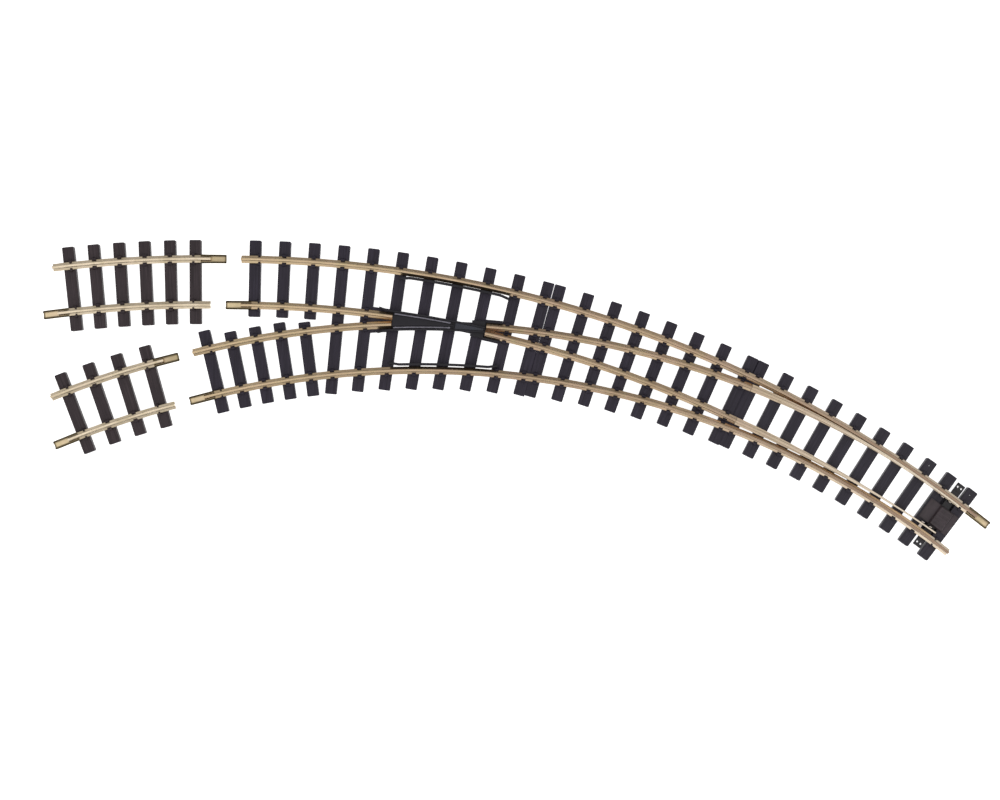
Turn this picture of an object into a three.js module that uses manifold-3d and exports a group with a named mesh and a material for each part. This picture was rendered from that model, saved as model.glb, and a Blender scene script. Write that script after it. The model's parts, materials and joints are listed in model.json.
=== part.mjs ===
// A curved model railway turnout for a 45 mm gauge line, with the two short
// adapter tracks that bring its legs up to the full curve of the system.
//
// Millimetres, +Z up, resting on z = 0. The toe is at the right-hand end, and
// the outer leg leaves at the left exactly along -X. Both routes are arcs that
// share their tangent at the toe, so every place is given as an angle about a
// route's centre and an offset from its radius.

import * as THREE from 'three';
import { mergeVertices } from 'three/addons/utils/BufferGeometryUtils.js';
import Module from 'manifold-3d';

const wasm = await Module();
wasm.setup();

const { degToRad, radToDeg, lerp } = THREE.MathUtils;

// ---------------------------------------------------------------- dimensions

// routes
const OUTER_RADIUS = 1240;
const INNER_RADIUS = 920;
const TOE_ANGLE = 52.5;
const OUTER_END_ANGLE = 90;
const INNER_END_ANGLE = 105;
const ADAPTER_SWEEP = 7.5;
const ADAPTER_PULLED_OUT = 31.5;

// rail, measured from the seat of its foot
const RAIL_SPACING = 48;
const HALF_SPACING = RAIL_SPACING / 2;
const FOOT_HALF = 4;
const FOOT_EDGE = 1;
const FOOT_ROOT = 1.9;
const WEB_HALF = 0.8;
const HEAD_HALF = 1.5;
const HEAD_LOW = 5.6;
const HEAD_SHOULDER = 6.2;
const RAIL_HEIGHT = 8.4;

// sleepers
const SLEEPER_WIDTH = 12;
const SLEEPER_HEIGHT = 11.5;
const SLEEPER_OVERHANG = 20;
const SLEEPER_WALL = 1.6;
const SLEEPER_TOP = 2.5;
const WEB_WIDTH = 4;
const WEB_LOW = 1;
const WEB_HIGH = 6;

// general clearance between neighbouring pieces, and the level of the rail feet
const GAP = 0.3;
const SEAT = SLEEPER_HEIGHT + GAP;
const RAIL_TOP = SEAT + RAIL_HEIGHT;

// chairs: the small blocks that grip the rail foot
const CHAIR_LENGTH = 5;
const CHAIR_WIDTH = 2.2;
const CHAIR_LEAST = 0.6;
const CHAIR_HIGH = SEAT + 2.3;
const CHAIR_ROOT = 1;

// rail joiners
const JOINER_LENGTH = 27;
const JOINER_REACH = 16;
const JOINER_HALF = 4.8;
const JOINER_SHEET = 0.5;
const JOINER_LIP = 2.4;
const JOINER_LIP_LOW = FOOT_ROOT - 0.1;
const RECESS_LENGTH = 17.5;
const RECESS_FLOOR = SLEEPER_HEIGHT - 1;
const END_CHAIR_AT = 18.1;
const END_CHAIR_LENGTH = 3;

// distances along the outer route's centre line, from the end of the outer leg
const ROUTE_LENGTH = degToRad(OUTER_END_ANGLE - TOE_ANGLE) * OUTER_RADIUS;
const FIRST_SLEEPER = 13.8;
const LEG_PITCH = 30;
const LEG_SLEEPERS = 11;
const OUTER_LEG_ONLY = 3;
const MIDDLE_START = 326.2;
const MIDDLE_PITCH = 29.7;
const MIDDLE_SLEEPERS = 8;
const SWITCH_START = 546.1;
const SWITCH_PITCH = 28.1;
const SWITCH_SLEEPERS = 8;
const BAR_SLEEPER = ROUTE_LENGTH - 43.9;
const TOE_SLEEPER = ROUTE_LENGTH - 17.9;
const LEG_JOINT = 320;
const SWITCH_JOINT = 540.1;
const HEEL = 545.3;
const BLADE_PIVOT = 547.5;
const BLADE_TIP = ROUTE_LENGTH - 23;
const TAB_PLACE = ROUTE_LENGTH - 39.9;
const BAR_PLACE = ROUTE_LENGTH - 30.5;

// feed strips inside the sleepers
const FEED_WIDTH = 3;
const FEED_SHEET = 0.8;
const FEED_LOW = 4;
const LEG_FEED_OUTER = FIRST_SLEEPER + 4 * LEG_PITCH;
const LEG_FEED_INNER = FIRST_SLEEPER + 3 * LEG_PITCH;
const MIDDLE_FEED = MIDDLE_START + 4 * MIDDLE_PITCH;

// short sleepers where the legs part
const LEG_INNER_OVERHANG = 11.8;
const INNER_LEG_FIRST = 15.5;
const INNER_LEG_PITCH = 25.1;
const INNER_LEG_OVERHANGS = [20, 13, 13, 13, 10];

// frog, also along the outer route
const WING_FLARE = 147;
const VEE_BACK = 162;
const VEE_NOSE = 228;
const STRIP_END = 224;
const THROAT = 262;
const CHEEK_END = 279;
const FROG_FLOOR = SEAT + 4.4;
const FLANGEWAY = 3.2;
const WING_THICK = 1.8;
const WING_OFFSET = HEAD_HALF + FLANGEWAY + WING_THICK / 2;
const FLARE_LENGTH = 10;
const FLARE_OUT = 2;
const FROG_FOOTING = 3.5;
const VEE_HEEL = 14;
const STRIP_WIDTH = 1.8;
const STRIP_HIGH = 0.6;
const STRIP_RIVET = 1.25;
const RIVET_HIGH = 0.3;
const PLATE_HIGH = 0.8;
const CHEEK_THICK = 1.6;
const CHEEK_HIGH = SEAT + 3.6;
const SHOULDER_LENGTH = 14;
const THROAT_GAP = 1.3;
const VEE_GAP = 1;
const PLATE_FROM = VEE_NOSE + 1.5;
const PLATE_TO = THROAT - 2 * THROAT_GAP;
const FOOT_TRIM = [THROAT - 2, THROAT + 28];

// trays between the sleepers under both ends of the frog and under the throw bar
const FROG_TRAYS = [[139, 158.6], [259, 278.6]];
const FROG_TRAY_HALF = 7.5;
const FROG_TRAY_LOW = 7;
const BAR_TRAY_HIGH = 5.8;
const BAR_TRAY_INSET = 2;

// check rails
const CHECK_OFFSET = 6.5;
const CHECK_THICK = 1.8;
const CHECK_HIGH = RAIL_TOP + 0.4;
const OUTER_CHECK = [164, 279];
const INNER_CHECK = [527, 642];

// blades and throw bar
const THROW = 5.8;
const BLADE_SET_OFF = 2;
const BLADE_FOOT = 3.2;
const BLADE_FOOT_TIP = 1.7;
const BLADE_TAPER = 150;
const BLADE_TRIM_SPARE = 1;
const STOCK_FOOT_ROOM = FOOT_ROOT + 0.1;
const STOCK_ROOM_SPARE = 10;
const BAR_WIDTH = 9;
const BAR_LOW = 6.8;
const BAR_HIGH = 11.2;
const BAR_OUTER_END = 41.6;
const BAR_LENGTH = 79.6;
const BAR_HOLE = 1.1;
const BAR_HOLE_INSET = 4.2;
const BAR_HOLE_APART = 4.2;
const LUG_NEAR = 4.3;
const LUG_FAR = 5.3;
const LUG_LENGTH = 3;
const LUG_PLAY = 0.4;
const LUG_SLOT_LENGTH = 5.4;
const TAB_LENGTH = 3.5;
const TAB_GROOVE_WIDTH = 5.7;
const TAB_GROOVE_SPARE = 1;
const LUG_HIGH = SEAT + 3.7;
const LUG_LOW = 7.6;
const TAB_LOW = SLEEPER_HEIGHT - 1.2;
const TAB_HIGH = SLEEPER_HEIGHT - 0.1;
const TAB_REACH = 4;
const PIN_RADIUS = 1.2;
const PIN_LOW = 7.6;

// toe cover and the detent inside it
const COVER_HALF = 11.6;
const COVER_FROM = 13;
const COVER_TO = 48;
const COVER_PLATE = 1.2;
const COVER_WALL = 1.4;
const COVER_ROOF = 1.6;
const BOX_FROM = 18.7;
const BOX_TO = 36.3;
const BOX_HIGH = 17.8;
const RIB_COUNT = 5;
const RIB_HIGH = 0.6;
const RIB_GROOVE_SHARE = 0.4;
const LEAF_THICK = 0.5;
const LEAF_HIGH = 2.4;
const LEAF_LIFT = 0.2;
const LEAF_END_BACK = 5;
const LEAF_BACK = 4.4;
const LEAF_BEND_AT = 4.5;
const HUMP_HALF = 1.6;
const HUMP_BACK = 4.2;
const KNOB_HALF = 1.5;
const KNOB_HIGH = 14.6;

// drive mounting holes in the two toe sleepers
const DRIVE_SLEEPER = SWITCH_START + (SWITCH_SLEEPERS - 1) * SWITCH_PITCH;
const DRIVE_HOLE_RADIUS = 0.7;
const DRIVE_HOLE_OUT = 13.6;

// adapters
const OUTER_ADAPTER = { sleepers: 6, pitch: 25.8 };
const INNER_ADAPTER = { sleepers: 4, pitch: 29.5 };

const ARC_STEP = 1.5;
const ROUND_SIDES = 12;

// how far a cutter runs past the faces that it opens
const PAST = 1;

// --------------------------------------------------------------- the routes

function onCircle(centre, radius, angle) {
  const turn = degToRad(angle);
  return new THREE.Vector2(centre.x + radius * Math.cos(turn), centre.y + radius * Math.sin(turn));
}

const TOE = new THREE.Vector2(0, 0);
const OUTER_CENTRE = onCircle(TOE, -OUTER_RADIUS, TOE_ANGLE);
const INNER_CENTRE = onCircle(TOE, -INNER_RADIUS, TOE_ANGLE);

const OUTER_STOCK = OUTER_RADIUS + HALF_SPACING;
const OUTER_NEAR = OUTER_RADIUS - HALF_SPACING;
const INNER_NEAR = INNER_RADIUS + HALF_SPACING;
const INNER_STOCK = INNER_RADIUS - HALF_SPACING;

// angle about the outer centre of a distance from the outer leg's end
const along = (distance) => OUTER_END_ANGLE - radToDeg(distance / OUTER_RADIUS);

// where the ray from the outer centre crosses a circle about the inner centre
function crossing(outerAngle, radius) {
  const apart = OUTER_RADIUS - INNER_RADIUS;
  const lean = degToRad(outerAngle - TOE_ANGLE);
  const reach = apart * Math.cos(lean) + Math.sqrt(radius ** 2 - (apart * Math.sin(lean)) ** 2);
  const point = onCircle(OUTER_CENTRE, reach, outerAngle);
  const angle = radToDeg(Math.atan2(point.y - INNER_CENTRE.y, point.x - INNER_CENTRE.x));
  return { reach, angle };
}

const innerAngle = (distance, radius = INNER_RADIUS) => crossing(along(distance), radius).angle;

// ------------------------------------------------------------ solid helpers

function solidOf(geometry) {
  const bare = geometry.clone();
  bare.deleteAttribute('normal');
  bare.deleteAttribute('uv');
  const merged = mergeVertices(bare);
  return new wasm.Manifold(new wasm.Mesh({
    numProp: 3,
    vertProperties: Float32Array.from(merged.attributes.position.array),
    triVerts: Uint32Array.from(merged.index.array),
  }));
}

function geometryOf(solid) {
  const mesh = solid.getMesh();
  const geometry = new THREE.BufferGeometry();
  geometry.setAttribute('position', new THREE.BufferAttribute(mesh.vertProperties, 3));
  geometry.setIndex(new THREE.BufferAttribute(mesh.triVerts, 1));
  geometry.computeVertexNormals();
  return geometry;
}

const joined = (solids) => solids.reduce((whole, solid) => whole.add(solid));
const without = (solid, tools) => tools.reduce((rest, tool) => rest.subtract(tool), solid);

// An arc about a centre, run from its larger angle to its smaller one. The
// radius may be a number or a function of the angle.
class TrackArc extends THREE.Curve {
  constructor(centre, radius, from, to) {
    super();
    this.centre = centre;
    this.radiusAt = typeof radius === 'function' ? radius : () => radius;
    this.high = Math.max(from, to);
    this.low = Math.min(from, to);
  }

  getPoint(t, target = new THREE.Vector3()) {
    const angle = lerp(this.high, this.low, t);
    const point = onCircle(this.centre, this.radiusAt(angle), angle);
    return target.set(point.x, point.y, 0);
  }

  getTangent(t, target = new THREE.Vector3()) {
    const turn = degToRad(lerp(this.high, this.low, t));
    return target.set(Math.sin(turn), -Math.cos(turn), 0);
  }
}

// Sweeps an outline of [offset outward from the radius, height] points.
function sweep(centre, radius, from, to, outline, step = ARC_STEP) {
  const path = new TrackArc(centre, radius, from, to);
  const shape = new THREE.Shape(outline.map(([out, height]) => new THREE.Vector2(-height, out)));
  const steps = Math.max(1, Math.ceil(Math.abs(to - from) / step));
  return solidOf(new THREE.ExtrudeGeometry(shape, { steps, bevelEnabled: false, extrudePath: path }));
}

const rectangle = (near, far, low, high) => [[near, low], [far, low], [far, high], [near, high]];

// A box across the track at an angle: near and far along the radius, and a
// width along the track that may be shifted towards the larger angle.
function block(centre, angle, near, far, width, low, high, shift = 0) {
  const box = new THREE.BoxGeometry(far - near, width, high - low);
  box.translate((near + far) / 2, shift, (low + high) / 2);
  box.rotateZ(degToRad(angle));
  box.translate(centre.x, centre.y, 0);
  return solidOf(box);
}

function peg(centre, angle, reach, radius, low, high, shift = 0) {
  const cylinder = new THREE.CylinderGeometry(radius, radius, high - low, ROUND_SIDES);
  cylinder.rotateX(Math.PI / 2);
  cylinder.translate(reach, shift, (low + high) / 2);
  cylinder.rotateZ(degToRad(angle));
  cylinder.translate(centre.x, centre.y, 0);
  return solidOf(cylinder);
}

function turnedAbout(solid, pivot, angle) {
  const turned = geometryOf(solid);
  turned.translate(-pivot.x, -pivot.y, 0);
  turned.rotateZ(angle);
  turned.translate(pivot.x, pivot.y, 0);
  return solidOf(turned);
}

// ---------------------------------------------------------------- materials

function finish(color, roughness, metalness = 0) {
  return new THREE.MeshStandardMaterial({ color, roughness, metalness });
}

const RAIL_BRASS = finish(0xb99768, 0.35, 1);
const JOINER_BRASS = finish(0xc2a557, 0.35, 1);
const SLEEPER_BLACK = finish(0x302c35, 0.7);
const ADAPTER_BROWN = finish(0x3b3034, 0.7);
const FROG_BLACK = finish(0x24242a, 0.6);
const THROAT_BLUE = finish(0x1d2230, 0.45);
const BAR_BLACK = finish(0x232227, 0.6);
const COVER_BROWN = finish(0x41343b, 0.7);
const STEEL = finish(0xb8b8b4, 0.35, 1);

function piece(name, solid, material) {
  const mesh = new THREE.Mesh(geometryOf(solid), material);
  mesh.name = name;
  return mesh;
}

// -------------------------------------------------------------------- rails

function bothSides(half) {
  const other = half.map(([out, height]) => [-out, height]).reverse();
  return [...half, ...other];
}

const lifted = (outline) => outline.map(([out, height]) => [out, height + SEAT]);

const RAIL_OUTLINE = lifted(bothSides([
  [FOOT_HALF, 0], [FOOT_HALF, FOOT_EDGE], [WEB_HALF, FOOT_ROOT],
  [WEB_HALF, HEAD_LOW], [HEAD_HALF, HEAD_SHOULDER], [HEAD_HALF, RAIL_HEIGHT],
]));

// a blade keeps a deep foot, which is cut to step over the stock rail's foot
const BLADE_OUTLINE = lifted(bothSides([
  [FOOT_HALF, 0], [FOOT_HALF, BLADE_FOOT], [WEB_HALF, BLADE_FOOT],
  [WEB_HALF, HEAD_LOW], [HEAD_HALF, HEAD_SHOULDER], [HEAD_HALF, RAIL_HEIGHT],
]));

// The room a blade leaves round the stock rail it closes against, and
// everything beyond that rail.
function stockRoom(towards) {
  const blade = -towards;
  return lifted([
    [-2 * blade * FOOT_HALF, -PAST], [blade * (FOOT_HALF + GAP), -PAST],
    [blade * (FOOT_HALF + GAP), STOCK_FOOT_ROOM], [blade * (HEAD_HALF + GAP), STOCK_FOOT_ROOM],
    [blade * (HEAD_HALF + GAP), RAIL_HEIGHT + PAST], [-2 * blade * FOOT_HALF, RAIL_HEIGHT + PAST],
  ]);
}

function rail(centre, radius, from, to) {
  return sweep(centre, radius, from, to, RAIL_OUTLINE);
}

// Beyond the throat the two closure rails are closer than their feet are wide,
// so each foot is planed back to the line midway between them.
function footTrim(side) {
  const midway = (angle) => (OUTER_NEAR + crossing(angle, INNER_NEAR).reach) / 2;
  const reach = 2 * FOOT_HALF;
  const [near, far] = side > 0 ? [-GAP / 2, reach] : [-reach, GAP / 2];
  const band = rectangle(near, far, SEAT - PAST, RAIL_TOP + PAST);
  const [from, to] = FOOT_TRIM;
  return sweep(OUTER_CENTRE, midway, along(from), along(to), band, ARC_STEP / 2);
}

function fixedRails() {
  const heel = HEEL - GAP;
  const innerPlaces = [heel, THROAT, VEE_BACK];
  const [heelAngle, throatAngle, veeAngle] = innerPlaces.map((place) => innerAngle(place, INNER_NEAR));
  const closureOuter = rail(INNER_CENTRE, INNER_NEAR, heelAngle, throatAngle);
  const closureInner = rail(OUTER_CENTRE, OUTER_NEAR, along(heel), along(THROAT));
  return [
    piece('stock_rail_outer', rail(OUTER_CENTRE, OUTER_STOCK, TOE_ANGLE, OUTER_END_ANGLE), RAIL_BRASS),
    piece('stock_rail_inner', rail(INNER_CENTRE, INNER_STOCK, TOE_ANGLE, INNER_END_ANGLE), RAIL_BRASS),
    piece('closure_rail_outer', without(closureOuter, [footTrim(-1)]), RAIL_BRASS),
    piece('closure_rail_inner', without(closureInner, [footTrim(1)]), RAIL_BRASS),
    piece('leg_rail_outer', rail(OUTER_CENTRE, OUTER_NEAR, along(VEE_BACK), OUTER_END_ANGLE), RAIL_BRASS),
    piece('leg_rail_inner', rail(INNER_CENTRE, INNER_NEAR, veeAngle, INNER_END_ANGLE), RAIL_BRASS),
  ];
}

// A folded channel round the rail foot, reaching past the rail's end by
// JOINER_REACH in the given direction (+1 towards larger angles).
function joiner(centre, radius, endAngle, direction) {
  const inside = JOINER_HALF - JOINER_SHEET;
  const floor = -GAP - JOINER_SHEET;
  const lipHigh = JOINER_LIP_LOW + JOINER_SHEET;
  const half = [
    [JOINER_HALF, floor], [JOINER_HALF, lipHigh], [JOINER_LIP, lipHigh],
    [JOINER_LIP, JOINER_LIP_LOW], [inside, JOINER_LIP_LOW], [inside, -GAP],
  ];
  const outline = lifted(bothSides(half));
  const shape = new THREE.Shape(outline.map(([out, height]) => new THREE.Vector2(out, height)));
  const channel = new THREE.ExtrudeGeometry(shape, { depth: JOINER_LENGTH, bevelEnabled: false });
  channel.rotateX(Math.PI / 2);
  const middle = direction * (JOINER_REACH - JOINER_LENGTH / 2);
  channel.translate(radius, middle + JOINER_LENGTH / 2, 0);
  channel.rotateZ(degToRad(endAngle));
  channel.translate(centre.x, centre.y, 0);
  return solidOf(channel);
}

// ----------------------------------------------------------- sleeper frames

// One sleeper: its middle line runs from near to far along the radius.
const sleeper = (centre, angle, near, far) => ({ centre, angle, near, far });

function sleeperBody({ centre, angle, near, far }) {
  return block(centre, angle, near, far, SLEEPER_WIDTH, 0, SLEEPER_HEIGHT);
}

function sleeperPocket({ centre, angle, near, far }) {
  const width = SLEEPER_WIDTH - 2 * SLEEPER_WALL;
  const roof = SLEEPER_HEIGHT - SLEEPER_TOP;
  return block(centre, angle, near + SLEEPER_WALL, far - SLEEPER_WALL, width, -PAST, roof);
}

function tie(centre, radius, from, to) {
  const web = rectangle(-WEB_WIDTH / 2, WEB_WIDTH / 2, WEB_LOW, WEB_HIGH);
  return sweep(centre, radius, from, to, web, 2 * ARC_STEP);
}

// A pair of chairs at a rail, each no wider than the room beside the foot. The
// room is the distance to the next rail's centre on that side.
function chairs(centre, angle, radius, roomIn, roomOut, length = CHAIR_LENGTH) {
  const edge = radius + FOOT_HALF + GAP;
  const low = SLEEPER_HEIGHT - CHAIR_ROOT;
  return [[-1, roomIn], [1, roomOut]].flatMap(([side, room]) => {
    const width = Math.min(CHAIR_WIDTH, room / 2 - FOOT_HALF - 1.5 * GAP);
    if (width < CHAIR_LEAST) {
      return [];
    }
    const near = side > 0 ? edge : 2 * radius - edge - width;
    return [block(centre, angle, near, near + width, length, low, CHAIR_HIGH)];
  });
}

// rails that a sleeper right across the turnout carries, from the inside out
function railsAcross(angle, withClosures) {
  const outerRail = (radius) => ({ centre: OUTER_CENTRE, angle, radius, reach: radius });
  const innerRail = (radius) => {
    const met = crossing(angle, radius);
    return { centre: INNER_CENTRE, angle: met.angle, radius, reach: met.reach };
  };
  const closures = withClosures ? [outerRail(OUTER_NEAR), innerRail(INNER_NEAR)] : [];
  const rails = [innerRail(INNER_STOCK), ...closures, outerRail(OUTER_STOCK)];
  return rails.sort((a, b) => a.reach - b.reach);
}

const OPEN_ROOM = 2 * SLEEPER_OVERHANG;

function chairsAcross(angle, withClosures, checkRails) {
  const rails = railsAcross(angle, withClosures);
  return rails.flatMap((item, index) => {
    const last = index === rails.length - 1;
    let roomIn = index > 0 ? item.reach - rails[index - 1].reach : OPEN_ROOM;
    let roomOut = last ? OPEN_ROOM : rails[index + 1].reach - item.reach;
    if (checkRails && last) {
      roomIn = 2 * (CHECK_OFFSET - CHECK_THICK / 2 - GAP);
    }
    if (checkRails && index === 0) {
      roomOut = 2 * (CHECK_OFFSET - CHECK_THICK / 2 - GAP);
    }
    return chairs(item.centre, item.angle, item.radius, roomIn, roomOut);
  });
}

function sleeperAcross(distance) {
  const angle = along(distance);
  const near = crossing(angle, INNER_STOCK - SLEEPER_OVERHANG).reach;
  return sleeper(OUTER_CENTRE, angle, near, OUTER_STOCK + SLEEPER_OVERHANG);
}

// room for the joiners at a track end, cut into its first sleeper
function joinerRecesses(centre, routeRadius, endAngle, inward) {
  return [-HALF_SPACING, HALF_SPACING].map((side) => {
    const near = routeRadius + side - JOINER_HALF - GAP;
    const far = routeRadius + side + JOINER_HALF + GAP;
    const middle = inward * RECESS_LENGTH / 2;
    return block(centre, endAngle, near, far, RECESS_LENGTH, RECESS_FLOOR, RAIL_TOP, middle);
  });
}

function endChairs(centre, routeRadius, endAngle, inward) {
  const angle = endAngle + inward * radToDeg(END_CHAIR_AT / routeRadius);
  return [-HALF_SPACING, HALF_SPACING].flatMap((side) => (
    chairs(centre, angle, routeRadius + side, OPEN_ROOM, OPEN_ROOM, END_CHAIR_LENGTH)
  ));
}

function frame({ sleepers, ties, grips, cuts = [] }) {
  const body = joined([...sleepers.map(sleeperBody), ...ties]);
  const hollow = without(body, sleepers.map(sleeperPocket));
  return without(joined([hollow, ...grips]), cuts);
}

// Everything past the plane where two frames butt, on the given side of it: +1
// towards larger angles. The frames' end sleepers are cut back to this plane.
function pastJoint(distance, side) {
  const width = 2 * SLEEPER_WIDTH;
  const near = INNER_STOCK + OUTER_RADIUS - INNER_RADIUS - 3 * SLEEPER_OVERHANG;
  const far = OUTER_STOCK + 2 * SLEEPER_OVERHANG;
  const shift = side * (width - GAP) / 2;
  return block(OUTER_CENTRE, along(distance), near, far, width, -PAST, RAIL_TOP, shift);
}

const places = (start, pitch, count) => Array.from({ length: count }, (_, index) => start + index * pitch);

// slots through a sleeper's top for the two feet of a feed strip
function feedSlots(distance, reaches) {
  const width = FEED_WIDTH + 2 * GAP;
  const half = FEED_SHEET / 2 + GAP;
  return reaches.map((reach) => (
    block(OUTER_CENTRE, along(distance), reach - half, reach + half, width, FEED_LOW, SEAT)
  ));
}

// ------------------------------------------------- feed strips, out of sight

const innerReach = (distance, radius) => crossing(along(distance), radius).reach;

// each strip joins the two rails of one polarity: an inner-route rail and an outer-route one
const feed = (place, innerRadius, outerRadius) => (
  { place, from: innerReach(place, innerRadius), to: outerRadius }
);

const FEEDS = {
  feed_strip_leg_outer: feed(LEG_FEED_OUTER, INNER_NEAR, OUTER_STOCK),
  feed_strip_leg_inner: feed(LEG_FEED_INNER, INNER_STOCK, OUTER_NEAR),
  feed_strip_middle_outer: feed(MIDDLE_FEED, INNER_NEAR, OUTER_STOCK),
  feed_strip_middle_inner: feed(MIDDLE_FEED, INNER_STOCK, OUTER_NEAR),
};

// a strip across the track with both ends turned up to the rails
function feedStrip({ place, from, to }) {
  const half = FEED_SHEET / 2;
  const reach = to - from;
  const bend = FEED_LOW + FEED_SHEET;
  const halfSweep = radToDeg(FEED_WIDTH / from) / 2;
  return sweep(OUTER_CENTRE, from, along(place) - halfSweep, along(place) + halfSweep, [
    [-half, FEED_LOW], [reach + half, FEED_LOW],
    [reach + half, SLEEPER_HEIGHT], [reach - half, SLEEPER_HEIGHT], [reach - half, bend],
    [half, bend], [half, SLEEPER_HEIGHT], [-half, SLEEPER_HEIGHT],
  ]);
}

const feedCuts = (placed) => Object.values(FEEDS)
  .filter(({ place }) => placed(place))
  .flatMap(({ place, from, to }) => feedSlots(place, [from, to]));

// ------------------------------------------------------- the turnout's frames

// Both routes' plates under one end of the frog, level with the sleepers.
function frogTray([from, to]) {
  const [start, end] = [from, to].map((place) => innerAngle(place, INNER_NEAR));
  const band = rectangle(-FROG_TRAY_HALF, FROG_TRAY_HALF, FROG_TRAY_LOW, SLEEPER_HEIGHT);
  return sweep(OUTER_CENTRE, OUTER_NEAR, along(from), along(to), band)
    .add(sweep(INNER_CENTRE, INNER_NEAR, start, end, band));
}

function legFrame() {
  const distances = places(FIRST_SLEEPER, LEG_PITCH, LEG_SLEEPERS);
  const legOnly = distances.slice(0, OUTER_LEG_ONLY).map((distance) => (
    sleeper(OUTER_CENTRE, along(distance), OUTER_NEAR - LEG_INNER_OVERHANG, OUTER_STOCK + SLEEPER_OVERHANG)
  ));
  const across = distances.slice(OUTER_LEG_ONLY);
  const innerAngles = INNER_LEG_OVERHANGS.map((_, index) => (
    INNER_END_ANGLE - radToDeg((INNER_LEG_FIRST + index * INNER_LEG_PITCH) / INNER_RADIUS)
  ));
  const innerLeg = innerAngles.map((angle, index) => (
    sleeper(INNER_CENTRE, angle, INNER_STOCK - SLEEPER_OVERHANG, INNER_NEAR + INNER_LEG_OVERHANGS[index])
  ));
  const sleepers = [...legOnly, ...across.map(sleeperAcross), ...innerLeg];

  const last = distances[LEG_SLEEPERS - 1];
  const veeTie = VEE_BACK + LEG_PITCH;
  const ties = [
    tie(OUTER_CENTRE, OUTER_STOCK, along(last), along(FIRST_SLEEPER)),
    tie(OUTER_CENTRE, OUTER_NEAR, along(last), along(FIRST_SLEEPER)),
    tie(INNER_CENTRE, INNER_STOCK, innerAngle(last, INNER_STOCK), innerAngles[0]),
    tie(INNER_CENTRE, INNER_NEAR, innerAngle(veeTie, INNER_NEAR), innerAngles[0]),
  ];

  const nearFrog = (distance) => distance > WING_FLARE && distance < CHEEK_END;
  const grips = [
    ...distances.slice(1, OUTER_LEG_ONLY).flatMap((distance) => [
      ...chairs(OUTER_CENTRE, along(distance), OUTER_STOCK, OPEN_ROOM, OPEN_ROOM),
      ...chairs(OUTER_CENTRE, along(distance), OUTER_NEAR, OPEN_ROOM, OPEN_ROOM),
    ]),
    ...across.flatMap((distance) => chairsAcross(along(distance), !nearFrog(distance), nearFrog(distance))),
    ...innerAngles.slice(1).flatMap((angle) => [
      ...chairs(INNER_CENTRE, angle, INNER_STOCK, OPEN_ROOM, OPEN_ROOM),
      ...chairs(INNER_CENTRE, angle, INNER_NEAR, OPEN_ROOM, OPEN_ROOM),
    ]),
    ...endChairs(OUTER_CENTRE, OUTER_RADIUS, OUTER_END_ANGLE, -1),
    ...endChairs(INNER_CENTRE, INNER_RADIUS, INNER_END_ANGLE, -1),
    ...FROG_TRAYS.map(frogTray),
  ];
  const cuts = [
    ...joinerRecesses(OUTER_CENTRE, OUTER_RADIUS, OUTER_END_ANGLE, -1),
    ...joinerRecesses(INNER_CENTRE, INNER_RADIUS, INNER_END_ANGLE, -1),
    ...feedCuts((place) => place < MIDDLE_START),
    pastJoint(LEG_JOINT, -1),
  ];
  return frame({ sleepers, ties, grips, cuts });
}

function middleFrame() {
  const distances = places(MIDDLE_START, MIDDLE_PITCH, MIDDLE_SLEEPERS);
  const last = distances[MIDDLE_SLEEPERS - 1];
  return frame({
    sleepers: distances.map(sleeperAcross),
    ties: [
      tie(OUTER_CENTRE, OUTER_STOCK, along(last), along(MIDDLE_START)),
      tie(OUTER_CENTRE, OUTER_NEAR, along(last), along(MIDDLE_START)),
      tie(INNER_CENTRE, INNER_STOCK, innerAngle(last, INNER_STOCK), innerAngle(MIDDLE_START, INNER_STOCK)),
      tie(INNER_CENTRE, INNER_NEAR, innerAngle(last, INNER_NEAR), innerAngle(MIDDLE_START, INNER_NEAR)),
    ],
    grips: distances.flatMap((distance) => chairsAcross(along(distance), true, false)),
    cuts: [
      ...feedCuts((place) => place > MIDDLE_START),
      pastJoint(LEG_JOINT, 1),
      pastJoint(SWITCH_JOINT, -1),
    ],
  });
}

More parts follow.
